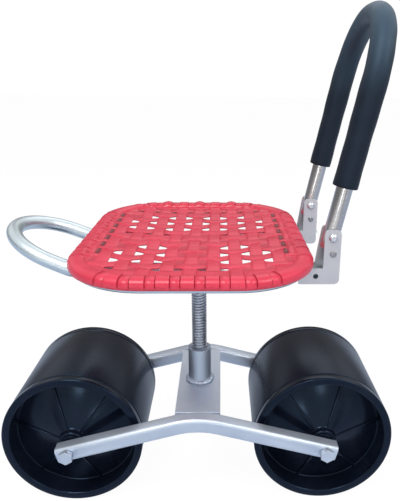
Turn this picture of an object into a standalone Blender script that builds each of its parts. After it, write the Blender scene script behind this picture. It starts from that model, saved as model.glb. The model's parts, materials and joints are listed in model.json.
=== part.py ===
"""Rolling garden seat: a screw-raised swivel seat with a folding padded back, on two wide rollers.

Metres, +Z up. +X points from the hand hoop to the backrest and +Y runs along the roller axles.
The origin is on the floor, on the axis of the lift screw, midway between the two axles.
"""
import math

import bmesh
import bpy
from mathutils import Matrix, Vector

# Clearances
TOUCH_GAP = 0.0003          # between pieces that seat on or inside each other
HUB_END_PLAY = 0.0006       # between a roller's hub and the washer beside it

# Rollers
ROLLER_RADIUS = 0.090
ROLLER_WIDTH = 0.152
AXLE_SPACING = 0.324
ROLLER_SIDES = 24           # a multiple of four, so that a flat faces straight down
DRUM_WALL = 0.004
BEAD_CHAMFER = 0.001
CAP_RIM = 0.012             # length of cap seen beside the drum shell
CAP_LIP = 0.010             # radial width of the cap's outer face
CAP_LIP_ROUND = 0.003
CAP_DEPTH = 0.026           # depth of the cap's recess at its outer edge
CAP_SPIGOT = 0.018          # length pushed into the drum shell
CAP_WEB = 0.003
HUB_RADIUS = 0.016
HUB_LENGTH = 0.040
HUB_SHOULDER = 0.008        # length of hub standing clear of the cone
RIB_COUNT = 6
RIB_WIDTH = 0.003
RIB_HEIGHT = 0.002
LEFT_RIB_TURN = math.radians(50)
RIGHT_RIB_TURN = math.radians(10)

# Axles
AXLE_DIAMETER = 0.010
AXLE_HOLE = 0.0106
AXLE_FLATS = 0.016
AXLE_HEAD = 0.0064
AXLE_NUT = 0.008
AXLE_TAIL = 0.002           # thread standing past the nut
SLEEVE_DIAMETER = 0.014
WASHER_DIAMETER = 0.026
WASHER_THICKNESS = 0.002

# Frame
FRAME_TUBE = 0.020
FRAME_WALL = 0.0015
FRAME_CORNER = 0.003
FRAME_GAP = 0.007           # from a roller's end to the frame tube
FRAME_CROWN = 0.1295        # height of the tube's centre-line at mid span
FRAME_BEND = 0.106
FRAME_END = 0.013           # tube past the axle
DECK_WIDTH = 0.057
DECK_THICKNESS = 0.006
DECK_STEP = 0.0025          # deck below the top of the tubes
COLLAR_DIAMETER = 0.031
COLLAR_HEIGHT = 0.049
COLLAR_WELD = 0.004

# Lift screw and its lower stop
SCREW_DIAMETER = 0.020
SCREW_SIDES = 16
SCREW_LENGTH = 0.233
FLANGE_DIAMETER = 0.058
FLANGE_THICKNESS = 0.006
STOP_DIAMETER = 0.034
STOP_THICKNESS = 0.004
STOP_BOLT_DEPTH = 0.026     # bolt inside the screw

# Seat
SEAT_HEIGHT = 0.350         # top of the rim with the screw in mid travel
SEAT_LENGTH = 0.276         # along X
SEAT_WIDTH = 0.356          # along Y
SEAT_OFFSET = -0.004        # seat centre from the screw axis, along X
SEAT_CORNER = 0.079         # corner radius of the rim's centre-line
RIM_WIDTH = 0.022
RIM_HEIGHT = 0.016
RIM_CROWN = 0.012           # flat along the rim's top
RIM_WRAP = 0.92             # size of a narrow wrap band beside a wide one
NARROW_BAND = 0.0102
PANEL_DROP = 0.0092         # flat middle of the woven panel below the rim's top
PANEL_THICKNESS = 0.0026    # where a strap dips
WEAVE_RELIEF = 0.0008
DISH_TILT_X = math.radians(4.1)     # climb of the panel from its flat middle to the rim's sides
DISH_TILT_Y = math.radians(1.55)    # and to the rim's front and back
COLUMN_COUNT = 8
COLUMN_INSET = 0.02955      # outer columns of holes, inside the rim
ROW_SPAN = 10.4             # rows between the front and the back slits
ROW_INSET = 0.0083          # slits at front and back, inside the rim
HOLE_WIDTH_SHARE = 0.38     # of the columns' pitch
HOLE_HEIGHT_SHARE = 0.68    # of the rows' pitch
HOLE_TAPER = 0.35           # height of a hole's narrow side as a share of its wide side
SLOT_INSET = 0.0035         # side slots inside the rim
SLOT_WIDTH = 0.005
RING_DIAMETER = 0.012
RING_DROP = 0.0039          # ring below the middle of the rim

# What carries the seat
HOOP_DIAMETER = 0.019
HOOP_WALL = 0.0015
HOOP_KNEE = -0.1474         # X of the point where the legs turn upwards
HOOP_KNEE_BEND = 0.050
HOOP_TILT = math.radians(22.5)
HOOP_REACH = 0.0881         # from the knee to the middle of the hoop's tip
HOOP_TIP = 0.067            # radius of the tip's centre-line
PLATE_LENGTH = 0.064
PLATE_WIDTH = 0.188
PLATE_THICKNESS = 0.005
PLATE_CORNER = 0.010
SEAT_SCREW_DIAMETER = 0.005
SEAT_SCREW_HEAD = 0.0095
SEAT_SCREW_HEAD_HEIGHT = 0.003
SEAT_SCREW_BITE = 0.0012    # screw inside the shell
SPACER_DIAMETER = 0.012

# Backrest and its brackets
BACK_SPACING = 0.1612       # between the legs' centre-lines
BACK_DIAMETER = 0.019
BACK_WALL = 0.0015
BACK_HEIGHT = 0.247         # from the pivot to the middle of the arch
BACK_BEND = 0.0756
BACK_LEAN = math.radians(12)
FOAM_DIAMETER = 0.0287
FOAM_START = 0.057          # bare leg above the pivot
PIVOT_X = 0.155
BRACKET_RISE = 0.0457       # pivot above the hoop's legs
BRACKET_SHEET = 0.0025
BRACKET_REACH = 0.037       # channel in front of the pivot
BRACKET_ROUND = 0.005
GUSSET_TOP = 0.004          # far cheek's slope starts below the pivot's height by -GUSSET_TOP
GUSSET_FOOT = 0.006         # far cheek's extra width at the corner
WEB_HEIGHT = 0.030          # rear web, from the underside of the leg
PIVOT_DIAMETER = 0.006
PIVOT_HOLE = 0.0066
PIVOT_HEAD = 0.0105
PIVOT_HEAD_HEIGHT = 0.0033
PIVOT_FLATS = 0.010
PIVOT_NUT = 0.005
PIN_DIAMETER = 0.006
PIN_HEAD = 0.008
PIN_HEAD_HEIGHT = 0.0012
PIN_DROP = 0.019            # below the pivot
PIN_SHIFT = 0.001           # behind the pivot
SPARE_HOLE = 0.006
SPARE_HOLE_X = 0.0175       # in front of the pivot

# Positions that follow from the sizes
AXLE_X = AXLE_SPACING / 2
FRAME_Y = ROLLER_WIDTH / 2 + FRAME_GAP + FRAME_TUBE / 2
FRAME_INNER = FRAME_Y - FRAME_TUBE / 2
FRAME_OUTER = FRAME_Y + FRAME_TUBE / 2
WASHER_INNER = FRAME_INNER - TOUCH_GAP - WASHER_THICKNESS
HUB_NOSE = WASHER_INNER - HUB_END_PLAY - ROLLER_WIDTH / 2
DECK_TOP = FRAME_CROWN + FRAME_TUBE / 2 - DECK_STEP
RIM_Z = SEAT_HEIGHT - RIM_HEIGHT / 2
PANEL_TOP = SEAT_HEIGHT - PANEL_DROP
RING_Z = RIM_Z - RING_DROP
LEG_Z = RING_Z - RING_DIAMETER / 2 - TOUCH_GAP - HOOP_DIAMETER / 2
PLATE_TOP = LEG_Z - HOOP_DIAMETER / 2 - TOUCH_GAP
FLANGE_TOP = PLATE_TOP - PLATE_THICKNESS - TOUCH_GAP
SCREW_BOTTOM = FLANGE_TOP - SCREW_LENGTH
STOP_TOP = SCREW_BOTTOM - TOUCH_GAP
PIVOT_Z = LEG_Z + BRACKET_RISE
LEG_Y = BACK_SPACING / 2
LEG_END = PIVOT_X + HOOP_DIAMETER / 2 - BRACKET_SHEET - TOUCH_GAP
RIM_PATH_X = (SEAT_LENGTH - RIM_WIDTH) / 2
RIM_PATH_Y = (SEAT_WIDTH - RIM_WIDTH) / 2
CHEEK_INNER = HOOP_DIAMETER / 2 + TOUCH_GAP
CHEEK_OUTER = CHEEK_INNER + BRACKET_SHEET
COLUMN_PITCH = (SEAT_LENGTH - 2 * RIM_WIDTH - 2 * COLUMN_INSET) / (COLUMN_COUNT - 1)
ROW_PITCH = (SEAT_WIDTH - 2 * RIM_WIDTH - 2 * ROW_INSET) / ROW_SPAN
HOLE_WIDTH = HOLE_WIDTH_SHARE * COLUMN_PITCH
HOLE_HEIGHT = HOLE_HEIGHT_SHARE * ROW_PITCH
PANEL_BOTTOM = PANEL_TOP - WEAVE_RELIEF - PANEL_THICKNESS
SEAT_SCREW_X = COLUMN_PITCH
SEAT_SCREW_Y = ROW_PITCH

for leftover in list(bpy.data.objects):
    bpy.data.objects.remove(leftover)

PARTS = bpy.data.collections.new("rolling_garden_seat")
bpy.context.scene.collection.children.link(PARTS)
SCRATCH = bpy.data.collections.new("construction")
bpy.context.scene.collection.children.link(SCRATCH)


def material(name, colour, roughness, metallic):
    """A plain finish."""
    finish = bpy.data.materials.new(name)
    finish.use_nodes = True
    shader = finish.node_tree.nodes["Principled BSDF"]
    shader.inputs["Base Color"].default_value = (*colour, 1.0)
    shader.inputs["Roughness"].default_value = roughness
    shader.inputs["Metallic"].default_value = metallic
    return finish


SILVER_PAINT = material("silver_paint", (0.52, 0.55, 0.60), 0.38, 0.6)
BRIGHT_TUBE = material("bright_tube", (0.72, 0.75, 0.80), 0.25, 0.9)
ZINC = material("zinc", (0.60, 0.61, 0.63), 0.35, 0.9)
SCREW_STEEL = material("screw_steel", (0.34, 0.35, 0.37), 0.40, 0.9)
ROLLER_BLACK = material("roller_black", (0.018, 0.018, 0.024), 0.38, 0.0)
SEAT_RED = material("seat_red", (0.62, 0.045, 0.075), 0.42, 0.0)
FOAM_BLACK = material("foam_black", (0.022, 0.024, 0.030), 0.75, 0.0)


def empty(name, location, rotation=(0.0, 0.0, 0.0)):
    """A frame that a group of pieces hangs from."""
    frame = bpy.data.objects.new(name, None)
    PARTS.objects.link(frame)
    frame.location = location
    frame.rotation_euler = rotation
    return frame


def place(name, mesh, finish, frame, location=(0.0, 0.0, 0.0), rotation=(0.0, 0.0, 0.0)):
    """Add one named piece, with its finish, in the frame it belongs to."""
    mesh.name = name
    mesh.materials.clear()
    mesh.materials.append(finish)
    mesh.shade_smooth()
    mesh.set_sharp_from_angle(angle=math.radians(35))
    piece = bpy.data.objects.new(name, mesh)
    PARTS.objects.link(piece)
    piece.parent = frame
    piece.location = location
    piece.rotation_euler = rotation
    return piece


def holder(data):
    """A short-lived object that carries mesh or curve data while it is worked on."""
    carrier = bpy.data.objects.new("work", data)
    SCRATCH.objects.link(carrier)
    return carrier


def finished_mesh(carrier, weld=True):
    """The carrier's mesh with its modifiers applied, welded if asked, with normals facing out."""
    bpy.context.view_layer.update()
    evaluated = carrier.evaluated_get(bpy.context.evaluated_depsgraph_get())
    mesh = bpy.data.meshes.new_from_object(evaluated)
    bpy.data.objects.remove(carrier)
    work = bmesh.new()
    work.from_mesh(mesh)
    if weld:
        bmesh.ops.remove_doubles(work, verts=work.verts, dist=1e-6)
    bmesh.ops.recalc_face_normals(work, faces=work.faces)
    work.to_mesh(mesh)
    work.free()
    return mesh


def combined(mesh, tools, operation):
    """The mesh joined with, or cut by, each tool mesh in turn."""
    carrier = holder(mesh)
    helpers = []
    for tool in tools:
        helper = holder(tool)
        helpers.append(helper)
        step = carrier.modifiers.new("step", "BOOLEAN")
        step.operation = operation
        step.solver = "EXACT"
        step.object = helper
    result = finished_mesh(carrier, weld=False)
    for helper in helpers:
        bpy.data.objects.remove(helper)
    return result


def joined(mesh, *tools):
    return combined(mesh, tools, "UNION")


def cut(mesh, *tools):
    return combined(mesh, tools, "DIFFERENCE")


def without_flat_edges(mesh):
    """Merge faces that lie in one plane."""
    work = bmesh.new()
    work.from_mesh(mesh)
    bmesh.ops.dissolve_limit(work, angle_limit=math.radians(0.5), verts=work.verts, edges=work.edges)
    work.to_mesh(mesh)
    work.free()
    return mesh


def moved(mesh, x=0.0, y=0.0, z=0.0):
    mesh.transform(Matrix.Translation((x, y, z)))
    return mesh


def turned_about(mesh, axis, angle):
    mesh.transform(Matrix.Rotation(angle, 4, axis))
    return mesh


def flats_at(radius, sides):
    """Corner radius of a polygon whose flats lie at the given radius."""
    return radius / math.cos(math.pi / sides)


def turned(profile, sides):
    """Revolve (radius, height) points about Z; a profile off the axis closes on itself.

    The points run down the outer side, and a flat faces each of the four level directions.
    """
    start = math.pi / sides
    corners = [(radius * math.cos(start), radius * math.sin(start), height) for radius, height in profile]
    edges = [(index, index + 1) for index in range(len(corners) - 1)]
    if profile[0][0] > 0.0:
        edges.append((len(corners) - 1, 0))
    mesh = bpy.data.meshes.new("profile")
    mesh.from_pydata(corners, edges, [])
    carrier = holder(mesh)
    screw = carrier.modifiers.new("revolve", "SCREW")
    screw.axis = "Z"
    screw.angle = math.tau
    screw.steps = sides
    screw.render_steps = sides
    screw.use_merge_vertices = True
    screw.merge_threshold = 1e-6
    return finished_mesh(carrier)


def ring(outer, inner, bottom, top, sides):
    """A plain tube or washer about Z."""
    outside = outer
    inside = flats_at(inner, sides)
    return turned([(outside, top), (outside, bottom), (inside, bottom), (inside, top)], sides)


def rod(radius, bottom, top, sides):
    """A plain round bar about Z."""
    return turned([(0.0, top), (radius, top), (radius, bottom), (0.0, bottom)], sides)


def hexagon(mesh, flats):
    """Turn the widest rings of a 12-sided turning into a hexagon of this width across its flats."""
    work = bmesh.new()
    work.from_mesh(mesh)
    for vertex in work.verts:
        if vertex.co.xy.length < 0.49 * flats:
            continue
        sector = math.atan2(vertex.co.y, vertex.co.x) / math.radians(30) - 0.5
        is_corner = round(sector) % 2 == 0
        reach = flats / math.sqrt(3.0) if is_corner else flats / 2
        vertex.co.xy = vertex.co.xy.normalized() * reach
    work.to_mesh(mesh)
    work.free()
    return turned_about(mesh, "Z", math.radians(15))


def hex_bolt(diameter, flats, head, length):
    """Shank up +Z from the underside of a hexagon head, which lies below zero."""
    shank = diameter / 2
    shaft = [(0.0, length), (shank, length), (shank, 0.0)]
    profile = shaft + [(flats / 2, 0.0), (flats / 2, -head), (0.0, -head)]
    return hexagon(turned(profile, 12), flats)


def hex_nut(hole, flats, height):
    """A nut from zero up to its height."""
    return hexagon(ring(flats / 2, hole / 2, 0.0, height, 12), flats)


def headed_pin(diameter, length, head_diameter, head_height, tail_diameter=None, sides=10):
    """Shank up +Z from a domed head, which lies below zero; a tail is a second, riveted head."""
    shank = diameter / 2
    edge = head_diameter / 2
    profile = [(0.0, length), (shank, length)]
    if tail_diameter:
        upset = tail_diameter / 2
        end = length + head_height
        profile = [(0.0, end), (0.7 * upset, end), (upset, length), (shank, length)]
    profile += [(shank, 0.0), (edge, 0.0), (0.94 * edge, -0.45 * head_height), (0.6 * edge, -head_height)]
    profile.append((0.0, -head_height))
    return turned(profile, sides)


def along_path(points, radius=0.0, sides=10, closed=False, section=None, sizes=None, capped=False):
    """Sweep a round bar, or a section, along a path of straight steps."""
    curve = bpy.data.curves.new("path", "CURVE")
    curve.dimensions = "3D"
    curve.fill_mode = "FULL"
    curve.use_fill_caps = capped
    spline = curve.splines.new("POLY")
    spline.points.add(len(points) - 1)
    for index, point in enumerate(points):
        spline.points[index].co = (*point, 1.0)
        if sizes:
            spline.points[index].radius = sizes[index]
    spline.use_cyclic_u = closed
    section_holder = None
    if section:
        section_holder = holder(outline_curve([section]))
        curve.bevel_mode = "OBJECT"
        curve.bevel_object = section_holder
    else:
        curve.bevel_depth = radius
        curve.bevel_resolution = (sides - 4) // 2
    mesh = finished_mesh(holder(curve))
    if section_holder:
        bpy.data.objects.remove(section_holder)
    return mesh


def hollowed(mesh, wall):
    """Give an open skin a wall on its inner side."""
    carrier = holder(mesh)
    shell = carrier.modifiers.new("wall", "SOLIDIFY")
    shell.thickness = wall
    shell.offset = -1.0
    shell.use_even_offset = True
    return finished_mesh(carrier)


def run_past(points, extra):
    """The path with its two ends moved straight outwards."""
    ends = []
    for end, inner in ((points[0], points[1]), (points[-1], points[-2])):
        outward = (Vector(end) - Vector(inner)).normalized()
        ends.append(tuple(Vector(end) + outward * extra))
    return [ends[0], *points[1:-1], ends[1]]


def pipe(points, radius, wall):
    """Round tube along a path: a bar with a plainer bore cut through it, open at both ends."""
    bore = along_path(run_past(points, radius), radius - wall, sides=6, capped=True)
    return cut(along_path(points, radius, capped=True), bore)


def outline_curve(outlines):
    """Closed flat outlines in XY."""
    curve = bpy.data.curves.new("outline", "CURVE")
    curve.dimensions = "2D"
    for outline in outlines:
        spline = curve.splines.new("POLY")
        spline.points.add(len(outline) - 1)
        for knot, (x, y) in zip(spline.points, outline):
            knot.co = (x, y, 0.0, 1.0)
        spline.use_cyclic_u = True
    return curve


def plate(outlines, thickness):
    """A flat plate in XY, from zero up to its thickness; outlines after the first are holes."""
    curve = outline_curve(outlines)
    curve.fill_mode = "BOTH"
    curve.extrude = thickness / 2
    return moved(finished_mesh(holder(curve)), z=thickness / 2)


def circle(x, y, radius, sides):
    """A round hole's outline, with its flats at the radius."""
    reach = flats_at(radius, sides)
    steps = [math.tau * (index + 0.5) / sides for index in range(sides)]
    return [(x + reach * math.cos(angle), y + reach * math.sin(angle)) for angle in steps]


def rounded(corners, steps=3):
    """Outline through (x, y, radius) corners, each rounded by its own radius."""
    outline = []
    for index, (x, y, radius) in enumerate(corners):
        corner = Vector((x, y))
        before = (Vector(corners[index - 1][:2]) - corner).normalized()
        after = (Vector(corners[(index + 1) % len(corners)][:2]) - corner).normalized()
        if radius <= 0.0:
            outline.append((x, y))
            continue
        half = before.angle(after) / 2
        centre = corner + (before + after).normalized() * radius / math.sin(half)
        first = corner + before * radius / math.tan(half) - centre
        last = corner + after * radius / math.tan(half) - centre
        for step in range(steps + 1):
            spoke = first.lerp(last, step / steps).normalized() * radius
            outline.append(tuple(centre + spoke))
    return outline


def box(low, high):
    """A block between two corners."""
    low = Vector(low)
    high = Vector(high)
    work = bmesh.new()
    bmesh.ops.create_cube(work, size=1.0)
    for vertex in work.verts:
        vertex.co = (low + high) / 2 + vertex.co * (high - low)
    mesh = bpy.data.meshes.new("block")
    work.to_mesh(mesh)
    work.free()
    return mesh


# Frames: one for each group that moves together, on its joint's axis
BASE = empty("base_frame", (0.0, 0.0, 0.0))
LEFT_ROLLER = empty("left_roller_frame", (-AXLE_X, 0.0, ROLLER_RADIUS))
RIGHT_ROLLER = empty("right_roller_frame", (AXLE_X, 0.0, ROLLER_RADIUS))
LIFT = empty("lift_frame", (0.0, 0.0, 0.0))
BACK = empty("back_frame", (PIVOT_X, 0.0, PIVOT_Z), (0.0, BACK_LEAN, 0.0))
TO_FRONT = (math.radians(90), 0.0, 0.0)     # a piece's own +Z faces the front, -Y
TO_REAR = (math.radians(-90), 0.0, 0.0)     # a piece's own +Z faces the rear, +Y


# Rollers
def drum_shell():
    outer = flats_at(ROLLER_RADIUS, ROLLER_SIDES)
    inner = flats_at(ROLLER_RADIUS - DRUM_WALL, ROLLER_SIDES)
    end = ROLLER_WIDTH / 2 - CAP_RIM - TOUCH_GAP
    profile = [
        (outer - BEAD_CHAMFER, end),
        (outer, end - BEAD_CHAMFER),
        (outer, BEAD_CHAMFER - end),
        (outer - BEAD_CHAMFER, -end),
        (inner, -end),
        (inner, end),
    ]
    return turned(profile, ROLLER_SIDES)


def cap_cone(radius):
    """Height of the cap's cone at a radius; zero is the roller's end face."""
    foot_radius = ROLLER_RADIUS - CAP_LIP
    foot = -CAP_DEPTH
    crest = HUB_NOSE - HUB_SHOULDER
    return crest + (foot - crest) * (radius - HUB_RADIUS) / (foot_radius - HUB_RADIUS)


def end_cap(rib_turn):
    """A ribbed cone with a hub and a rim, pushed into the end of a drum shell."""
    outer = flats_at(ROLLER_RADIUS, ROLLER_SIDES)
    spigot = flats_at(ROLLER_RADIUS - DRUM_WALL - TOUCH_GAP, ROLLER_SIDES)
    recess = ROLLER_RADIUS - CAP_LIP
    bore = flats_at(SLEEVE_DIAMETER / 2 + TOUCH_GAP, ROLLER_SIDES)
    spigot_end = -CAP_RIM - CAP_SPIGOT
    profile = [
        (outer - CAP_LIP_ROUND, 0.0),
        (outer, -CAP_LIP_ROUND),
        (outer, -CAP_RIM),
        (spigot, -CAP_RIM),
        (spigot, spigot_end),
        (HUB_RADIUS, cap_cone(HUB_RADIUS) - CAP_WEB),
        (HUB_RADIUS, HUB_NOSE - HUB_LENGTH),
        (bore, HUB_NOSE - HUB_LENGTH),
        (bore, HUB_NOSE),
        (HUB_RADIUS, HUB_NOSE),
        (HUB_RADIUS, cap_cone(HUB_RADIUS)),
        (recess, -CAP_DEPTH),
        (recess, 0.0),
    ]
    cap = turned(profile, ROLLER_SIDES)
    inside = HUB_RADIUS - RIB_HEIGHT
    outside = recess + RIB_HEIGHT
    ribs = []
    for index in range(RIB_COUNT):
        outline = [
            (inside, cap_cone(inside) - CAP_WEB / 2),
            (outside, cap_cone(outside) - CAP_WEB / 2),
            (outside, cap_cone(outside) + RIB_HEIGHT),
            (inside, cap_cone(inside) + RIB_HEIGHT),
        ]
        rib = moved(plate([outline], RIB_WIDTH), z=-RIB_WIDTH / 2)
        turned_about(rib, "X", math.radians(90))
        turned_about(rib, "Z", rib_turn + math.tau * index / RIB_COUNT)
        ribs.append(rib)
    return joined(cap, *ribs)


def roller(side, frame, rib_turn):
    end = ROLLER_WIDTH / 2
    cap = end_cap(rib_turn)
    place(side + "_drum_shell", drum_shell(), ROLLER_BLACK, frame, rotation=TO_FRONT)
    place(side + "_front_cap", cap, ROLLER_BLACK, frame, (0.0, -end, 0.0), TO_FRONT)
    place(side + "_rear_cap", cap.copy(), ROLLER_BLACK, frame, (0.0, end, 0.0), TO_REAR)


# Frame
def arch_slope():
    """Angle of the frame tube's arms, from the crown's height and bend and the axles' places."""
    drop = FRAME_CROWN - ROLLER_RADIUS
    lever = math.hypot(AXLE_X, FRAME_BEND - drop)
    return math.asin(FRAME_BEND / lever) - math.atan2(FRAME_BEND - drop, AXLE_X)


def frame_tube():
    """Square tube over the rollers: a bent crown and two straight arms, with the axle holes."""
    slope = arch_slope()
    bend_x = FRAME_BEND * math.sin(slope)
    arm = (AXLE_X - bend_x) / math.cos(slope) + FRAME_END
    bend_steps = 5
    points = []
    for step in range(bend_steps + 1):
        angle = slope * (2 * step / bend_steps - 1)
        points.append((FRAME_BEND * math.sin(angle), 0.0, FRAME_CROWN - FRAME_BEND * (1 - math.cos(angle))))
    reach_x = arm * math.cos(slope)
    reach_z = arm * math.sin(slope)
    points.insert(0, (points[0][0] - reach_x, 0.0, points[0][2] - reach_z))
    points.append((points[-1][0] + reach_x, 0.0, points[-1][2] - reach_z))
    half = FRAME_TUBE / 2
    signs = [(1, 1), (-1, 1), (-1, -1), (1, -1)]
    section = rounded([(half * x, half * y, FRAME_CORNER) for x, y in signs], steps=2)
    inner = half - FRAME_WALL
    bore = along_path(run_past(points, half), section=[(inner * x, inner * y) for x, y in signs], capped=True)
    tube = cut(along_path(points, section=section, capped=True), bore)
    drills = []
    for x in (-AXLE_X, AXLE_X):
        drill = rod(flats_at(AXLE_HOLE / 2, 12), -FRAME_TUBE, FRAME_TUBE, 12)
        drills.append(moved(turned_about(drill, "X", math.radians(90)), x=x, z=ROLLER_RADIUS))
    return cut(tube, *drills)


def deck_plate():
    half_x = DECK_WIDTH / 2
    half_y = FRAME_INNER - TOUCH_GAP
    outline = [(half_x, half_y), (-half_x, half_y), (-half_x, -half_y), (half_x, -half_y)]
    hole = circle(0.0, 0.0, SCREW_DIAMETER / 2 + TOUCH_GAP, SCREW_SIDES)
    return moved(plate([outline, hole], DECK_THICKNESS), z=DECK_TOP - DECK_THICKNESS)


def screw_collar():
    outer = COLLAR_DIAMETER / 2
    bore = flats_at(SCREW_DIAMETER / 2 + TOUCH_GAP, SCREW_SIDES)
    bottom = DECK_TOP + TOUCH_GAP
    top = bottom + COLLAR_HEIGHT
    chamfer = 0.25 * COLLAR_WELD
    profile = [
        (outer - chamfer, top),
        (outer, top - chamfer),
        (outer, bottom + COLLAR_WELD),
        (outer + 0.3 * COLLAR_WELD, bottom + 0.3 * COLLAR_WELD),
        (outer + COLLAR_WELD, bottom),
        (bore, bottom),
        (bore, top),
    ]
    return turned(profile, SCREW_SIDES)


def axle_set(side, x):
    """Bolt, nut, sleeve and two washers of one axle, all about a line along Y."""
    z = ROLLER_RADIUS
    reach = FRAME_OUTER + TOUCH_GAP
    bolt = hex_bolt(AXLE_DIAMETER, AXLE_FLATS, AXLE_HEAD, 2 * reach + AXLE_NUT + AXLE_TAIL)
    nut = hex_nut(AXLE_HOLE, AXLE_FLATS, AXLE_NUT)
    sleeve_end = WASHER_INNER - TOUCH_GAP
    sleeve = ring(SLEEVE_DIAMETER / 2, AXLE_HOLE / 2, -sleeve_end, sleeve_end, 12)
    washer = ring(WASHER_DIAMETER / 2, AXLE_HOLE / 2, WASHER_INNER, WASHER_INNER + WASHER_THICKNESS, 12)
    place(side + "_axle_bolt", bolt, ZINC, BASE, (x, -reach, z), TO_REAR)
    place(side + "_axle_nut", nut, ZINC, BASE, (x, reach, z), TO_REAR)
    place(side + "_axle_sleeve", sleeve, ZINC, BASE, (x, 0.0, z), TO_REAR)
    place(side + "_front_washer", washer, ZINC, BASE, (x, 0.0, z), TO_FRONT)
    place(side + "_rear_washer", washer.copy(), ZINC, BASE, (x, 0.0, z), TO_REAR)


# Lift screw
def lift_screw():
    """Screw with its flange on top and a tapped hole in its lower end."""
    shank = SCREW_DIAMETER / 2
    flange = FLANGE_DIAMETER / 2
    hole = flats_at(AXLE_HOLE / 2, SCREW_SIDES)
    hole_end = SCREW_BOTTOM + STOP_BOLT_DEPTH + TOUCH_GAP
    profile = [
        (0.0, FLANGE_TOP),
        (flange, FLANGE_TOP),
        (flange, FLANGE_TOP - FLANGE_THICKNESS),
        (shank, FLANGE_TOP - FLANGE_THICKNESS),
        (shank, SCREW_BOTTOM),
        (hole, SCREW_BOTTOM),
        (hole, hole_end),
        (0.0, hole_end),
    ]
    return turned(profile, SCREW_SIDES)


def stop_washer():
    return ring(STOP_DIAMETER / 2, AXLE_HOLE / 2, STOP_TOP - STOP_THICKNESS, STOP_TOP, 12)


def stop_bolt():
    under_head = STOP_TOP - STOP_THICKNESS - TOUCH_GAP
    length = SCREW_BOTTOM + STOP_BOLT_DEPTH - under_head
    return moved(hex_bolt(AXLE_DIAMETER, AXLE_FLATS, AXLE_HEAD, length), z=under_head)


# Seat
def rim_point(distance):
    """Point on the rim's centre-line at a distance round it from the middle of the front edge."""
    straight_x = RIM_PATH_X - SEAT_CORNER
    straight_y = RIM_PATH_Y - SEAT_CORNER
    quarter = SEAT_CORNER * math.pi / 2
    half_turn = 2 * (straight_x + straight_y + quarter)
    distance %= 2 * half_turn
    flip = 1
    if distance > half_turn:
        distance -= half_turn
        flip = -1
    if distance < straight_x:
        x, y = distance, -RIM_PATH_Y
    elif distance < straight_x + quarter:
        angle = (distance - straight_x) / SEAT_CORNER
        x = straight_x + SEAT_CORNER * math.sin(angle)
        y = -straight_y - SEAT_CORNER * math.cos(angle)
    elif distance < straight_x + quarter + 2 * straight_y:
        x, y = RIM_PATH_X, distance - straight_x - quarter - straight_y
    elif distance < straight_x + 2 * quarter + 2 * straight_y:
        angle = (distance - straight_x - quarter - 2 * straight_y) / SEAT_CORNER
        x = straight_x + SEAT_CORNER * math.cos(angle)
        y = straight_y + SEAT_CORNER * math.sin(angle)
    else:
        x, y = half_turn - distance, RIM_PATH_Y
    return flip * x, flip * y


def rim_length():
    return 4 * (RIM_PATH_X + RIM_PATH_Y - 2 * SEAT_CORNER) + math.tau * SEAT_CORNER


def ring_path():
    """The rim's centre-line in even steps round its corners, at the ring's height."""
    quarter = SEAT_CORNER * math.pi / 2
    straight_x = RIM_PATH_X - SEAT_CORNER
    straight_y = RIM_PATH_Y - SEAT_CORNER
    corner_steps = 5
    points = []
    start = straight_x
    for corner in range(4):
        for step in range(corner_steps + 1):
            points.append(rim_point(start + quarter * step / corner_steps))
        start += quarter + 2 * (straight_y if corner % 2 == 0 else straight_x)
    return [(x + SEAT_OFFSET, y, RING_Z) for x, y in points]


def seat_ring():
    return along_path(ring_path(), RING_DIAMETER / 2, sides=8, closed=True)


def ring_channel():
    sides = 8
    radius = RING_DIAMETER / 2 + flats_at(TOUCH_GAP, sides)
    return along_path(ring_path(), radius, sides=sides, closed=True)


def rim_band_centres():
    """Distances round the rim of its narrow wrap bands, in line with the columns and rows of holes."""
    side = rim_length() / 4
    centres = []
    for quarter_turn, pitch in enumerate((COLUMN_PITCH, ROW_PITCH, COLUMN_PITCH, ROW_PITCH)):
        for index in range(COLUMN_COUNT):
            centres.append(quarter_turn * side + (index - (COLUMN_COUNT - 1) / 2) * pitch)
    return centres


def seat_rim():
    """Rim of the shell, swept round the seat: crowned wide bands with narrow flat ones between them."""
    centres = rim_band_centres()
    wide_band = COLUMN_PITCH - NARROW_BAND
    stations = []
    for centre, following in zip(centres, centres[1:] + [centres[0] + rim_length()]):
        narrow_end = centre + NARROW_BAND / 2
        gap = following - centre - NARROW_BAND
        stations += [(centre - NARROW_BAND / 2, RIM_WRAP), (narrow_end, RIM_WRAP)]
        crowns = max(1, round(gap / wide_band))
        stations += [(narrow_end + gap * (index + 1) / (crowns + 1), 1.0) for index in range(crowns)]
    stations = sorted((distance % rim_length(), size) for distance, size in stations)
    points = [rim_point(distance) for distance, _ in stations]
    half_width = RIM_WIDTH / 2
    half_height = RIM_HEIGHT / 2
    crown = RIM_CROWN / 2
    foot = 0.65 * half_width
    section = [
        (half_width, 0.0),
        (crown, half_height),
        (-crown, half_height),
        (-half_width, 0.0),
        (-foot, -0.75 * half_height),
        (foot, -0.75 * half_height),
    ]
    path = [(x + SEAT_OFFSET, y, RIM_Z) for x, y in points]
    return along_path(path, closed=True, section=section, sizes=[size for _, size in stations])


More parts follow.
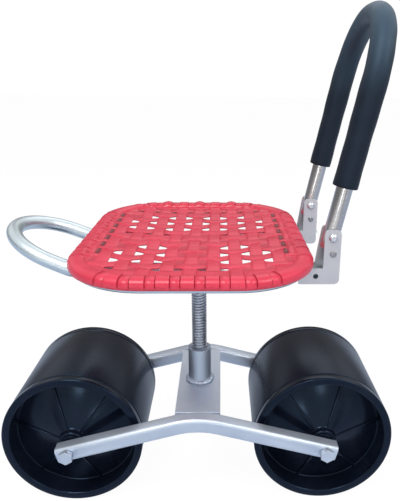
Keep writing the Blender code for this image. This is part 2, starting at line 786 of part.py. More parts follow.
# Rows of holes from back to front: middle, height, and the columns that are open
OPEN_ALL = range(COLUMN_COUNT)
OPEN_OUTER = [column for column in OPEN_ALL if abs(column - (COLUMN_COUNT - 1) / 2) > 1]
OPEN_INNER = [column for column in OPEN_ALL if abs(column - (COLUMN_COUNT - 1) / 2) < 2]
OPEN_MIDDLE = [column for column in OPEN_ALL if 0 < column < COLUMN_COUNT - 1]
OPEN_PAIRS = [column for column in OPEN_OUTER if column in OPEN_MIDDLE]
OPEN_FRONT = [column for column in OPEN_ALL if column not in OPEN_PAIRS or column in OPEN_INNER]
HOLE_ROWS = [
    (ROW_SPAN / 2 * ROW_PITCH, 0.25 * HOLE_HEIGHT, OPEN_MIDDLE),
    (4.5 * ROW_PITCH, 0.35 * HOLE_HEIGHT, OPEN_ALL),
    (3.5 * ROW_PITCH, HOLE_HEIGHT, OPEN_MIDDLE),
    (2.5 * ROW_PITCH, HOLE_HEIGHT, OPEN_ALL),
    (1.5 * ROW_PITCH, HOLE_HEIGHT, OPEN_ALL),
    (0.5 * ROW_PITCH, 0.5 * HOLE_HEIGHT, OPEN_OUTER),
    (-1.5 * ROW_PITCH, HOLE_HEIGHT, OPEN_PAIRS),
    (-2.5 * ROW_PITCH, HOLE_HEIGHT, OPEN_OUTER),
    (-3.5 * ROW_PITCH, HOLE_HEIGHT, OPEN_OUTER),
    (-4.5 * ROW_PITCH, 0.5 * HOLE_HEIGHT, OPEN_FRONT),
]
SIDE_SLOT_ROWS = range(1, 8)


def panel_edge():
    """Outline that ends the panel inside the rim, short of the rim's centre-line."""
    inset = 0.25 * RIM_WIDTH
    half_x = RIM_PATH_X - inset
    half_y = RIM_PATH_Y - inset
    corners = [(1, 1), (-1, 1), (-1, -1), (1, -1)]
    return rounded([(SEAT_OFFSET + x * half_x, y * half_y, SEAT_CORNER - inset) for x, y in corners], steps=6)


def panel_climb(x, y, flat_columns):
    """How far the dished panel climbs at a place, outside a flat middle that many columns wide."""
    past_x = abs(x) - (flat_columns * COLUMN_PITCH - HOLE_WIDTH) / 2
    past_y = abs(y) - 1.5 * ROW_PITCH
    return math.tan(DISH_TILT_X) * max(past_x, 0.0) + math.tan(DISH_TILT_Y) * max(past_y, 0.0)


def woven_panel():
    """The seat's dished panel: straps over and under each other with tapered holes between them."""
    slot = RIM_PATH_X - RIM_WIDTH / 2 - SLOT_INSET - SLOT_WIDTH / 2
    columns = [(index - (COLUMN_COUNT - 1) / 2) * COLUMN_PITCH for index in OPEN_ALL]
    bands_x = [(-slot, SLOT_WIDTH)] + [(x, HOLE_WIDTH) for x in columns] + [(slot, SLOT_WIDTH)]
    bands_y = [(y, height) for y, height, _ in reversed(HOLE_ROWS)]
    rows = [round(y / ROW_PITCH + 4.5) for y, _ in bands_y]
    edges_x = [x + side * width / 2 for x, width in bands_x for side in (-1, 1)]
    lines_x = [-RIM_PATH_X, *edges_x, RIM_PATH_X]
    edges_y = [y + side * height / 2 for y, height in bands_y for side in (-1, 1)]
    lines_y = [-RIM_PATH_Y, *edges_y, RIM_PATH_Y]

    def is_open(band_x, band_y):
        row = len(HOLE_ROWS) - 1 - band_y
        if band_x in (0, len(bands_x) - 1):
            return row in SIDE_SLOT_ROWS
        return band_x - 1 in HOLE_ROWS[row][2]

    work = bmesh.new()
    bmesh.ops.create_grid(work, x_segments=len(lines_x) - 1, y_segments=len(lines_y) - 1, size=0.5)
    place_in_grid = {}
    for vertex in work.verts:
        column = round((vertex.co.x + 0.5) * (len(lines_x) - 1))
        row = round((vertex.co.y + 0.5) * (len(lines_y) - 1))
        place_in_grid[vertex] = (column, row)
    holes = []
    for face in work.faces:
        column = min(place_in_grid[vertex][0] for vertex in face.verts)
        row = min(place_in_grid[vertex][1] for vertex in face.verts)
        if column % 2 == 1 and row % 2 == 1 and is_open(column // 2, row // 2):
            holes.append(face)
    for vertex, (column, row) in place_in_grid.items():
        x = lines_x[column]
        y = lines_y[row]
        over = 1 if (column // 2 + row // 2) % 2 else -1
        if 0 < column < len(lines_x) - 1 and 0 < row < len(lines_y) - 1:
            band_x = (column - 1) // 2
            band_y = (row - 1) // 2
            narrow_side = (band_x + rows[band_y] + 1) % 2
            if is_open(band_x, band_y) and (column - 1) % 2 == narrow_side:
                y = bands_y[band_y][0] + (y - bands_y[band_y][0]) * HOLE_TAPER
        else:
            over = 0
        vertex.co = (x + SEAT_OFFSET, y, PANEL_TOP + panel_climb(x, y, 3) + over * WEAVE_RELIEF)
    bmesh.ops.delete(work, geom=holes, context="FACES")
    border = [edge for edge in work.edges if edge.is_boundary]
    walls = bmesh.ops.extrude_edge_only(work, edges=border)["geom"]
    for part in walls:
        if isinstance(part, bmesh.types.BMVert):
            part.co.z = PANEL_BOTTOM
    lower_border = [part for part in walls if isinstance(part, bmesh.types.BMEdge) and part.is_boundary]
    bmesh.ops.triangle_fill(work, edges=lower_border, use_beauty=True)
    for part in walls:
        if isinstance(part, bmesh.types.BMVert):
            part.co.z += panel_climb(part.co.x - SEAT_OFFSET, part.co.y, 5)
    mesh = bpy.data.meshes.new("panel")
    work.to_mesh(mesh)
    work.free()
    thickness = 2 * RIM_HEIGHT
    trim = moved(plate([panel_edge()], thickness), z=PANEL_TOP - thickness / 2)
    return combined(finished_mesh(holder(mesh)), [trim], "INTERSECT")


def seat_screw_places():
    return [(SEAT_OFFSET + x * SEAT_SCREW_X, y * SEAT_SCREW_Y) for x in (-1, 1) for y in (-1, 1)]


def screw_end():
    """Height where the seat screws end, inside the shell."""
    return PANEL_BOTTOM + SEAT_SCREW_BITE


def seat_shell():
    shell = joined(woven_panel(), seat_rim())
    drills = []
    for x, y in seat_screw_places():
        drill = rod(flats_at(SEAT_SCREW_DIAMETER / 2 + TOUCH_GAP, 8), PLATE_TOP, screw_end() + TOUCH_GAP, 8)
        drills.append(moved(drill, x, y))
    return without_flat_edges(cut(shell, ring_channel(), *drills))


def hoop_taper(length):
    """Angle by which each leg closes in, so that it meets the hoop's tip smoothly."""
    return math.acos(HOOP_TIP / math.hypot(LEG_Y, length)) - math.atan2(length, LEG_Y)


def seat_hoop():
    """Two legs, parallel in the brackets, then closing in, turned up at the knee and joined in a hoop."""
    setback = HOOP_KNEE_BEND * math.tan(HOOP_TILT / 2)
    bend_start = LEG_END - HOOP_KNEE - setback
    bend_length = HOOP_KNEE_BEND * HOOP_TILT
    length = bend_start + bend_length + HOOP_REACH - setback - HOOP_TIP
    parallel = LEG_END - PIVOT_X + BRACKET_REACH + HOOP_DIAMETER

    def lifted(run, side):
        """Bend the flat hoop up at its knee; run is the length along it from the brackets."""
        if run <= bend_start:
            return LEG_END - run, side, LEG_Z
        angle = min((run - bend_start) / HOOP_KNEE_BEND, HOOP_TILT)
        past = max(run - bend_start - bend_length, 0.0)
        x = LEG_END - bend_start - HOOP_KNEE_BEND * math.sin(angle) - past * math.cos(HOOP_TILT)
        z = LEG_Z + HOOP_KNEE_BEND * (1 - math.cos(angle)) + past * math.sin(HOOP_TILT)
        return x, side, z

    taper = hoop_taper(length - parallel)
    runs = [0.0, parallel] + [bend_start + bend_length * step / 2 for step in range(3)]
    leg = [(run, LEG_Y - max(run - parallel, 0.0) * math.tan(taper)) for run in runs]
    tip_steps = 8
    tip = []
    for step in range(tip_steps + 1):
        angle = (math.pi / 2 - taper) * (1 - 2 * step / tip_steps)
        tip.append((length + HOOP_TIP * math.cos(angle), HOOP_TIP * math.sin(angle)))
    flat = leg + tip + [(run, -side) for run, side in reversed(leg)]
    hoop = pipe([lifted(run, side) for run, side in flat], HOOP_DIAMETER / 2, HOOP_WALL)
    drill = rod(flats_at(SPARE_HOLE / 2, 8), -LEG_Y - HOOP_DIAMETER, LEG_Y + HOOP_DIAMETER, 8)
    return cut(hoop, moved(turned_about(drill, "X", math.radians(90)), x=PIVOT_X - SPARE_HOLE_X, z=LEG_Z))


def mount_plate():
    half_x = PLATE_LENGTH / 2
    half_y = PLATE_WIDTH / 2
    corners = [(1, 1), (-1, 1), (-1, -1), (1, -1)]
    outline = rounded([(SEAT_OFFSET + x * half_x, y * half_y, PLATE_CORNER) for x, y in corners])
    holes = [circle(x, y, SEAT_SCREW_DIAMETER / 2 + TOUCH_GAP, 8) for x, y in seat_screw_places()]
    return moved(plate([outline, *holes], PLATE_THICKNESS), z=PLATE_TOP - PLATE_THICKNESS)


def seat_fixings():
    """Screws up through the mount plate into the shell, each with a spacer tube."""
    under_plate = PLATE_TOP - PLATE_THICKNESS - TOUCH_GAP
    spacer_bottom = PLATE_TOP + TOUCH_GAP
    spacer_top = PANEL_BOTTOM - TOUCH_GAP
    hole = SEAT_SCREW_DIAMETER / 2 + TOUCH_GAP
    for index, (x, y) in enumerate(seat_screw_places(), start=1):
        length = screw_end() - under_plate
        screw = headed_pin(SEAT_SCREW_DIAMETER, length, SEAT_SCREW_HEAD, SEAT_SCREW_HEAD_HEIGHT, sides=6)
        spacer = ring(SPACER_DIAMETER / 2, hole, spacer_bottom, spacer_top, 6)
        place(f"seat_screw_{index}", screw, ZINC, LIFT, (x, y, under_plate))
        place(f"seat_spacer_{index}", spacer, ZINC, LIFT, (x, y, 0.0))


# Brackets and backrest
def bracket():
    """Folded L channel, seen from the front, with its pivot at zero and its sheet across Z."""
    half = HOOP_DIAMETER / 2
    foot_low = -BRACKET_RISE - half
    foot_top = -BRACKET_RISE + half
    heel = (half, foot_low, BRACKET_ROUND)
    toe = [(-BRACKET_REACH, foot_top, 0.0), (-BRACKET_REACH, foot_low, 0.0)]
    head = [(half, half, BRACKET_ROUND), (-half, half, BRACKET_ROUND)]
    front = rounded([heel, *head, (-half, foot_top, 0.0), *toe], steps=2)
    slope = [(-half, GUSSET_TOP, 0.0), (-half - GUSSET_FOOT, foot_top, 0.0)]
    back = rounded([heel, *head, *slope, *toe], steps=2)
    holes = [
        circle(0.0, 0.0, PIVOT_HOLE / 2, 10),
        circle(PIN_SHIFT, -PIN_DROP, PIN_DIAMETER / 2 + TOUCH_GAP, 10),
        circle(-SPARE_HOLE_X, -BRACKET_RISE, SPARE_HOLE / 2, 8),
    ]
    near_cheek = moved(plate([front, *holes], BRACKET_SHEET), z=CHEEK_INNER)
    far_cheek = moved(plate([back, *holes], BRACKET_SHEET), z=-CHEEK_OUTER)
    overlap = BRACKET_SHEET / 2
    web_low = (half - BRACKET_SHEET, foot_low + BRACKET_ROUND, -CHEEK_INNER - overlap)
    web_high = (half - 0.1 * BRACKET_SHEET, foot_low + WEB_HEIGHT, CHEEK_INNER + overlap)
    return joined(near_cheek, box(web_low, web_high), far_cheek)


def bracket_set(side, y):
    """Bracket, pivot bolt and nut, and stop pin at one leg; heads face the front."""
    span = 2 * (CHEEK_OUTER + TOUCH_GAP)
    front = y - span / 2
    bolt = headed_pin(PIVOT_DIAMETER, span + PIVOT_NUT, PIVOT_HEAD, PIVOT_HEAD_HEIGHT)
    nut = hex_nut(PIVOT_HOLE, PIVOT_FLATS, PIVOT_NUT)
    pin = headed_pin(PIN_DIAMETER, span, PIN_HEAD, PIN_HEAD_HEIGHT, tail_diameter=PIN_HEAD)
    place(side + "_bracket", bracket(), SILVER_PAINT, LIFT, (PIVOT_X, y, PIVOT_Z), TO_FRONT)
    place(side + "_pivot_bolt", bolt, ZINC, LIFT, (PIVOT_X, front, PIVOT_Z), TO_REAR)
    place(side + "_pivot_nut", nut, ZINC, LIFT, (PIVOT_X, front + span, PIVOT_Z), TO_REAR)
    place(side + "_stop_pin", pin, ZINC, LIFT, (PIVOT_X + PIN_SHIFT, front, PIVOT_Z - PIN_DROP), TO_REAR)


def arch_path(start):
    """Backrest's centre-line in its own frame, from a height on one leg over to the other."""
    top = BACK_HEIGHT - BACK_BEND
    middle = LEG_Y - BACK_BEND
    steps = 6
    side = []
    for step in range(steps + 1):
        angle = math.pi / 2 * step / steps
        side.append((0.0, middle + BACK_BEND * math.cos(angle), top + BACK_BEND * math.sin(angle)))
    side.insert(0, (0.0, LEG_Y, start))
    return side + [(x, -y, z) for x, y, z in reversed(side)]


def pin_in_back_frame():
    """Stop pin's place along and across a backrest leg."""
    along = -PIN_SHIFT * math.sin(-BACK_LEAN) - PIN_DROP * math.cos(BACK_LEAN)
    across = PIN_SHIFT * math.cos(BACK_LEAN) + PIN_DROP * math.sin(BACK_LEAN)
    return across, along


def backrest_tube():
    """Arched tube; each tail sits on its stop pin and is trimmed to swing clear of it."""
    across, along = pin_in_back_frame()
    tail = along + PIN_DIAMETER / 2 + TOUCH_GAP
    tube = pipe(arch_path(tail), BACK_DIAMETER / 2, BACK_WALL)
    drill = rod(flats_at(PIVOT_HOLE / 2, 12), -LEG_Y - BACK_DIAMETER, LEG_Y + BACK_DIAMETER, 12)
    turned_about(drill, "X", math.radians(90))
    swing = math.hypot(across, along) - PIN_DIAMETER / 2 - 2 * TOUCH_GAP
    outline = [(0.0, -2 * BACK_DIAMETER), (0.0, -swing)]
    for step in range(1, 7):
        angle = math.pi / 2 * (1 + step / 6)
        outline.append((swing * math.cos(angle), -swing * math.sin(angle)))
    outline.append((-2 * BACK_DIAMETER, 0.0))
    outline.append((-2 * BACK_DIAMETER, -2 * BACK_DIAMETER))
    trim = plate([outline], 2 * (LEG_Y + BACK_DIAMETER))
    turned_about(moved(trim, z=-LEG_Y - BACK_DIAMETER), "X", math.radians(90))
    return cut(tube, drill, trim)


def foam_sleeve():
    outer = FOAM_DIAMETER / 2
    inner = BACK_DIAMETER / 2 + TOUCH_GAP
    return hollowed(along_path(arch_path(FOAM_START), outer), outer - inner)


# Assembly
roller("left", LEFT_ROLLER, LEFT_RIB_TURN)
roller("right", RIGHT_ROLLER, RIGHT_RIB_TURN)

arch = frame_tube()
place("front_frame_tube", arch, SILVER_PAINT, BASE, (0.0, -FRAME_Y, 0.0))
place("rear_frame_tube", arch.copy(), SILVER_PAINT, BASE, (0.0, FRAME_Y, 0.0))
place("deck_plate", deck_plate(), SILVER_PAINT, BASE)
place("screw_collar", screw_collar(), SILVER_PAINT, BASE)
axle_set("left", -AXLE_X)
axle_set("right", AXLE_X)

place("lift_screw", lift_screw(), SCREW_STEEL, LIFT)
place("stop_washer", stop_washer(), ZINC, LIFT)
place("stop_bolt", stop_bolt(), ZINC, LIFT)
place("mount_plate", mount_plate(), SILVER_PAINT, LIFT)
place("seat_hoop", seat_hoop(), BRIGHT_TUBE, LIFT)
place("seat_ring", seat_ring(), BRIGHT_TUBE, LIFT)
place("seat_shell", seat_shell(), SEAT_RED, LIFT)
seat_fixings()
bracket_set("near", -LEG_Y)
bracket_set("far", LEG_Y)

place("backrest_tube", backrest_tube(), BRIGHT_TUBE, BACK)
place("foam_sleeve", foam_sleeve(), FOAM_BLACK, BACK)
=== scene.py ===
"""Looks of the rolling garden seat: finishes, woven seat, threaded screw, foam, light and camera.

Metres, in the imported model's own frame: +Z up, +X from the hand hoop to the backrest, +Y along the axles.
"""
import json
import math

import bmesh
import bpy
from mathutils import Matrix, Vector


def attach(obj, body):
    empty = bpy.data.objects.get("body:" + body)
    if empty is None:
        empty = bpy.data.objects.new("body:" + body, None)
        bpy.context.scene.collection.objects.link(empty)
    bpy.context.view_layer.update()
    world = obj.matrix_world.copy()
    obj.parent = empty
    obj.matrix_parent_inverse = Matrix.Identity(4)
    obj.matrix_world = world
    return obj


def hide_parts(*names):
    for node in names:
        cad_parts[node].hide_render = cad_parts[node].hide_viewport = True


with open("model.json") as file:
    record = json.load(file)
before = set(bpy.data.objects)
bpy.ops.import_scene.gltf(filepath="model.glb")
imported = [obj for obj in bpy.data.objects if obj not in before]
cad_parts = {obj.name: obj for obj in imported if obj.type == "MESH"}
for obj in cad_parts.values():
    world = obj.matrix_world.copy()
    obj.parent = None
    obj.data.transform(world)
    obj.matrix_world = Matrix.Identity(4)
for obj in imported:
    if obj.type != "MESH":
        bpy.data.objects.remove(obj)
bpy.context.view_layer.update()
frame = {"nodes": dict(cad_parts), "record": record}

# Sizes repeated from the part's source, with what the finished pieces add to them
TOUCH_GAP = 0.0003

# Rollers: drum, end caps and ribs
ROLLER_RADIUS = 0.090
ROLLER_WIDTH = 0.152
AXLE_X = 0.162
DRUM_WALL = 0.004
CAP_RIM = 0.012
CAP_LIP = 0.010
CAP_DEPTH = 0.026
CAP_SPIGOT = 0.018
CAP_WEB = 0.003
CAP_DRAFT = 0.0015
CAP_EDGE = 0.0022
DRUM_EDGE = 0.0012
HUB_RADIUS = 0.016
HUB_LENGTH = 0.040
HUB_SHOULDER = 0.008
HUB_NOSE = 0.0041
HUB_FILLET = 0.002
SLEEVE_DIAMETER = 0.014
RIB_COUNT = 6
RIB_HEIGHT = 0.0022
RIB_SINK = 0.001
RIB_CREST = 0.0014
RIB_FOOT = 0.0022
RIB_EDGE = 0.0007
RIB_TURN = {"left": math.radians(50), "right": math.radians(10)}

# Frame tubes, deck and collar with its weld bead
FRAME_TUBE = 0.020
FRAME_WALL = 0.0015
FRAME_CORNER = 0.005
FRAME_Y = 0.093
FRAME_CROWN = 0.1295
FRAME_BEND = 0.106
FRAME_END = 0.013
AXLE_HOLE = 0.0106
DECK_TOP = 0.137
COLLAR_DIAMETER = 0.031
COLLAR_HEIGHT = 0.049
COLLAR_EDGE = 0.0006
BEAD_HEIGHT = 0.0045
BEAD_OUTLINE = [(0.0038, 0.0), (0.0040, 0.0014), (0.0030, 0.0032), (0.0012, 0.0042)]
BEAD_RIPPLE = 0.00035
BEAD_FLAT = 0.0005

# Lift screw: thread, neck and flange
SCREW_DIAMETER = 0.020
THREAD_PITCH = 0.004
THREAD_DEPTH = 0.0021
THREAD_STEPS = 28
THREAD_LAP = 0.0001
SCREW_NECK = 0.004
SCREW_RUNOUT = 0.006
SCREW_EDGE = 0.0004
CENTRE_MARK = 0.002
STOP_HOLE_DEPTH = 0.0263
SCREW_BOTTOM = 0.0742
FLANGE_TOP = 0.3072
FLANGE_DIAMETER = 0.058
FLANGE_THICKNESS = 0.006

# Seat: rim with its bands, dished panel with its holes, and the ring
SEAT_OFFSET = -0.004
SEAT_CORNER = 0.079
RIM_PATH_X = 0.127
RIM_PATH_Y = 0.167
STRAIGHT_X = RIM_PATH_X - SEAT_CORNER
STRAIGHT_Y = RIM_PATH_Y - SEAT_CORNER
RIM_WIDTH = 0.022
RIM_HEIGHT = 0.016
RIM_Z = 0.342
RIM_RAISED = 0.00045
RIM_RECESSED = -0.00035
RIM_GROOVE = -0.0011
BACK_BUMP = 0.0021
BUMPED_BANDS = (1, 3, 5)
BAND_EDGE = 0.0007
END_BAND_REACH = 0.011
CORNER_GAP = 0.02
CORNER_STEP = 0.006
PANEL_TOP = 0.3408
PANEL_THICKNESS = 0.0016
DISH_TILT_X = math.radians(4.1)
DISH_TILT_Y = math.radians(1.55)
COLUMN_PITCH = 0.0247
COLUMN_COUNT = 8
ROW_PITCH = 0.0284
NARROW_BAND = 0.0102
HOLE_WIDTH = 0.0094
HOLE_HEIGHT = 0.0193
HOLE_TAPER = 0.35
SLOT_WIDTH = 0.0065
SLOT_INSET = 0.0035
RING_RADIUS = 0.006
RING_Z = 0.3381

# Seat hoop, backrest and foam
LEG_Y = 0.0806
LEG_Z = 0.3223
LEG_END = 0.1617
HOOP_RADIUS = 0.0095
TUBE_WALL = 0.0015
TUBE_EDGE = 0.0003
LEG_HOLE_X = 0.1375
LEG_HOLE_RADIUS = 0.003
DRILL_LENGTH = 0.24
HOOP_KNEE = -0.1474
HOOP_KNEE_BEND = 0.050
KNEE_STEPS = 6
HOOP_TILT = math.radians(22.5)
HOOP_REACH = 0.0881
HOOP_TIP = 0.067
HOOP_PARALLEL = 0.0627
PIVOT = Vector((0.155, 0.0, 0.368))
BACK_HEIGHT = 0.247
BACK_BEND = 0.0756
BACK_STRAIGHT = BACK_HEIGHT - BACK_BEND
BACK_LEAN = math.radians(12)
BACK_TAIL = 0.0151
BACK_LEG_STEPS = 24
BACK_BEND_STEPS = 20
PIVOT_HOLE = 0.0066
FOAM_RADIUS = 0.01435
FOAM_START = 0.057
FOAM_SWELL = 0.0003
FOAM_EDGE = 0.0012

# How close two vertices are merged
WELD_REACH = 1e-5
FINE_WELD_REACH = 1e-6


# Modelling by hand
def deselect():
    bpy.ops.object.select_all(action="DESELECT")


def activate(piece):
    deselect()
    piece.select_set(True)
    bpy.context.view_layer.objects.active = piece


def object_mode():
    bpy.ops.object.mode_set(mode="OBJECT")


def edit_whole():
    """Enter edit mode with everything selected."""
    bpy.ops.object.mode_set(mode="EDIT")
    bpy.ops.mesh.select_all(action="SELECT")


def settle(piece, name):
    """Leave edit mode, put the piece's place into its mesh, weld it and face it outwards."""
    object_mode()
    activate(piece)
    piece.name = name
    piece.data.name = name
    bpy.ops.object.transform_apply(location=True, rotation=True, scale=True)
    edit_whole()
    bpy.ops.mesh.remove_doubles(threshold=WELD_REACH)
    bpy.ops.mesh.normals_make_consistent(inside=False)
    object_mode()
    return piece


def modify(piece, kind, **settings):
    """Add a modifier with its settings and apply it."""
    activate(piece)
    step = piece.modifiers.new(kind.lower(), kind)
    for key, value in settings.items():
        setattr(step, key, value)
    bpy.ops.object.modifier_apply(modifier=step.name)
    return piece


def round_edges(piece, width, segments=2, angle=30):
    """Bevel every edge that is sharper than an angle in degrees."""
    return modify(
        piece, "BEVEL", width=width, segments=segments, limit_method="ANGLE",
        angle_limit=math.radians(angle), harden_normals=False,
    )


def smooth(piece, angle=35):
    """Shade smooth, apart from edges sharper than an angle in degrees."""
    activate(piece)
    bpy.ops.object.shade_smooth_by_angle(angle=math.radians(angle))
    return piece


def turned_to(direction):
    """Turn that brings +Z to a direction."""
    return Vector(direction).to_track_quat("Z", "Y").to_matrix().to_4x4()


def bored(piece, centre, radius, length):
    """Cut a hole along Y with a rod."""
    deselect()
    bpy.ops.mesh.primitive_cylinder_add(vertices=32, radius=radius, depth=length)
    drill = bpy.context.object
    drill.matrix_world = Matrix.Translation(centre) @ turned_to((0, 1, 0))
    modify(piece, "BOOLEAN", operation="DIFFERENCE", solver="EXACT", object=drill)
    bpy.data.objects.remove(drill)
    return piece


def joined(first, *others):
    activate(first)
    for other in others:
        other.select_set(True)
    bpy.ops.object.join()
    return first


def ring_outline(centre, normal, radius, sides):
    """Draw a circle square to a direction and leave it selected in edit mode."""
    deselect()
    bpy.ops.mesh.primitive_circle_add(vertices=sides, radius=radius)
    piece = bpy.context.object
    piece.matrix_world = Matrix.Translation(centre) @ turned_to(normal)
    bpy.ops.object.transform_apply(location=True, rotation=True, scale=True)
    edit_whole()
    return piece


def square_outline(centre, normal, side, corner):
    """Draw a square with rounded corners, its sides level and upright, ready to extrude."""
    deselect()
    bpy.ops.mesh.primitive_plane_add(size=side)
    piece = bpy.context.object
    across = Vector((0.0, 1.0, 0.0))
    ahead = Vector(normal).normalized()
    turn = Matrix((across, ahead.cross(across), ahead)).transposed().to_4x4()
    piece.matrix_world = Matrix.Translation(centre) @ turn
    bpy.ops.object.transform_apply(location=True, rotation=True, scale=True)
    edit_whole()
    bpy.ops.mesh.bevel(offset=corner, segments=6, affect="VERTICES")
    bpy.ops.mesh.select_all(action="SELECT")
    bpy.ops.mesh.delete(type="ONLY_FACE")
    bpy.ops.mesh.select_all(action="SELECT")
    return piece


def pull(vector):
    """Extrude the selected outline by a straight run."""
    bpy.ops.mesh.extrude_edges_move(TRANSFORM_OT_translate={"value": vector})


def sweep_turn(centre, axis, angle, steps):
    """Extrude the selected outline round a bend, by the right-hand rule."""
    bpy.ops.mesh.spin(steps=steps, angle=-angle, center=centre, axis=axis)


def turned_piece(name, centre, axis, profile, sides):
    """Turn a closed profile of (radius, distance along the axis), ring by ring."""
    axis = Vector(axis)
    centre = Vector(centre)
    radius, along = profile[0]
    piece = ring_outline(centre + axis * along, axis, radius, sides)
    for next_radius, next_along in profile[1:] + profile[:1]:
        pull(axis * (next_along - along))
        if abs(next_radius - radius) > 1e-9:
            grow = next_radius / radius
            scale = [1.0 if abs(part) > 0.5 else grow for part in axis]
            bpy.ops.transform.resize(value=scale, center_override=centre + axis * next_along)
        radius, along = next_radius, next_along
    return settle(piece, name)


def tidy_copy(node, edge):
    """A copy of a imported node, its triangles merged back to flat faces and its edges softened."""
    source = frame["nodes"][node]
    piece = source.copy()
    piece.data = source.data.copy()
    piece.parent = None
    for key in list(piece.keys()):
        del piece[key]
    bpy.context.scene.collection.objects.link(piece)
    activate(piece)
    piece.name = node + "_dressed"
    edit_whole()
    bpy.ops.mesh.remove_doubles(threshold=FINE_WELD_REACH)
    bpy.ops.mesh.dissolve_limited(angle_limit=math.radians(1))
    object_mode()
    piece.data.materials.clear()
    round_edges(piece, edge)
    smooth(piece)
    return modify(piece, "WEIGHTED_NORMAL", keep_sharp=True)


def dress(piece, finish, slot, body, *nodes):
    """Give a piece its finish, its body and the nodes it stands for."""
    piece.data.materials.clear()
    piece.data.materials.append(finish)
    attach(piece, body)
    if nodes:
        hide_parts(*nodes)
    return piece


# Shader maths
class Signal:
    """A socket whose arithmetic adds the nodes that work it out."""

    def __init__(self, tree, socket):
        self.tree = tree
        self.socket = socket

    def worked(self, operation, first, second):
        node = self.tree.nodes.new("ShaderNodeMath")
        node.operation = operation
        for slot, value in zip(node.inputs, (first, second)):
            connect(self.tree, slot, value)
        return Signal(self.tree, node.outputs[0])

    def __add__(self, other):
        return self.worked("ADD", self, other)

    def __radd__(self, other):
        return self.worked("ADD", other, self)

    def __sub__(self, other):
        return self.worked("SUBTRACT", self, other)

    def __rsub__(self, other):
        return self.worked("SUBTRACT", other, self)

    def __mul__(self, other):
        return self.worked("MULTIPLY", self, other)

    def __rmul__(self, other):
        return self.worked("MULTIPLY", other, self)

    def within(self, low, high):
        """Share of the way from low to high, held between 0 and 1."""
        node = self.tree.nodes.new("ShaderNodeMapRange")
        for slot, value in zip(node.inputs, (self, low, high)):
            connect(self.tree, slot, value)
        return Signal(self.tree, node.outputs[0])


def connect(tree, slot, value):
    """Link a signal to a socket, or set the socket's own value."""
    if isinstance(value, Signal):
        tree.links.new(value.socket, slot)
    else:
        slot.default_value = value


class Finish:
    """A procedural material on one Principled shader."""

    def __init__(self, name, **constants):
        self.material = bpy.data.materials.new(name)
        self.material.use_nodes = True
        self.tree = self.material.node_tree
        self.shader = self.tree.nodes["Principled BSDF"]
        self.set(**constants)
        self.place = self.node("ShaderNodeTexCoord", output="Object")

    def set(self, **sockets):
        for name, value in sockets.items():
            connect(self.tree, self.shader.inputs[name.replace("_", " ")], value)

    def node(self, kind, settings=None, output=0, **sockets):
        """Add a node with its settings and the values or links of its sockets."""
        node = self.tree.nodes.new(kind)
        for key, value in (settings or {}).items():
            setattr(node, key, value)
        for name, value in sockets.items():
            connect(self.tree, node.inputs[name.replace("_", " ")], value)
        return Signal(self.tree, node.outputs[output])

    def noise(self, scale, detail=3.0, roughness=0.55, at=None):
        return self.node("ShaderNodeTexNoise", Vector=at or self.place, Scale=scale, Detail=detail,
                         Roughness=roughness)

    def stretched(self, x=1.0, y=1.0, z=1.0):
        """The place scaled along each axis, which draws a noise out."""
        return self.node("ShaderNodeMapping", Vector=self.place, Scale=(x, y, z))

    def span(self, value, low, high, out_low, out_high):
        """A value carried from one range to another."""
        return self.node(
            "ShaderNodeMapRange", Value=value, From_Min=low, From_Max=high, To_Min=out_low, To_Max=out_high)

    def mix(self, factor, first, second):
        node = self.tree.nodes.new("ShaderNodeMix")
        node.data_type = "RGBA"
        connect(self.tree, node.inputs["Factor"], factor)
        for slot, colour in ((node.inputs[6], first), (node.inputs[7], second)):
            connect(self.tree, slot, colour if isinstance(colour, Signal) else (*colour, 1.0))
        return Signal(self.tree, node.outputs[2])

    def bump(self, height, strength, distance):
        self.set(Normal=self.node("ShaderNodeBump", Height=height, Strength=strength, Distance=distance))


def roller_plastic(name, smoothest, roughest):
    """Blue-black moulded plastic: fine spark texture, faint flow bands and a little dust."""
    finish = Finish(name, IOR=1.42, Specular_IOR_Level=0.34, Specular_Tint=(0.42, 0.66, 1.0, 1.0))
    flow = finish.noise(22.0, 2.0, at=finish.stretched(1.0, 0.25, 1.0))
    grain = finish.noise(1500.0, 2.0)
    dust = finish.span(finish.noise(60.0, 5.0, 0.65), 0.48, 0.80, 0.0, 0.4)
    shade = finish.mix(flow.within(0.3, 0.7), (0.0030, 0.0052, 0.0115), (0.0055, 0.0075, 0.0160))
    finish.set(Base_Color=finish.mix(dust, shade, (0.012, 0.015, 0.024)))
    finish.set(Roughness=finish.span(flow, 0.25, 0.75, smoothest, roughest) + 0.04 * dust)
    finish.bump(grain, 0.08, 0.0002)
    return finish.material


def silver_paint(name, deep, pale):
    """Satin silver paint: metal flake, light orange peel and clouds between two tones."""
    finish = Finish(name, Metallic=0.74)
    flake = finish.noise(2600.0, 1.0)
    peel = finish.noise(320.0, 2.0)
    cloud = finish.noise(16.0, 4.0)
    shade = finish.mix(cloud.within(0.3, 0.7), deep, pale)
    bright = tuple(1.2 * part for part in pale)
    finish.set(Base_Color=finish.mix(finish.span(flake, 0.35, 0.75, 0.0, 0.3), shade, bright))
    finish.set(Roughness=finish.span(cloud, 0.25, 0.75, 0.40, 0.50))
    finish.bump(peel + 0.4 * flake, 0.08, 0.0003)
    return finish.material


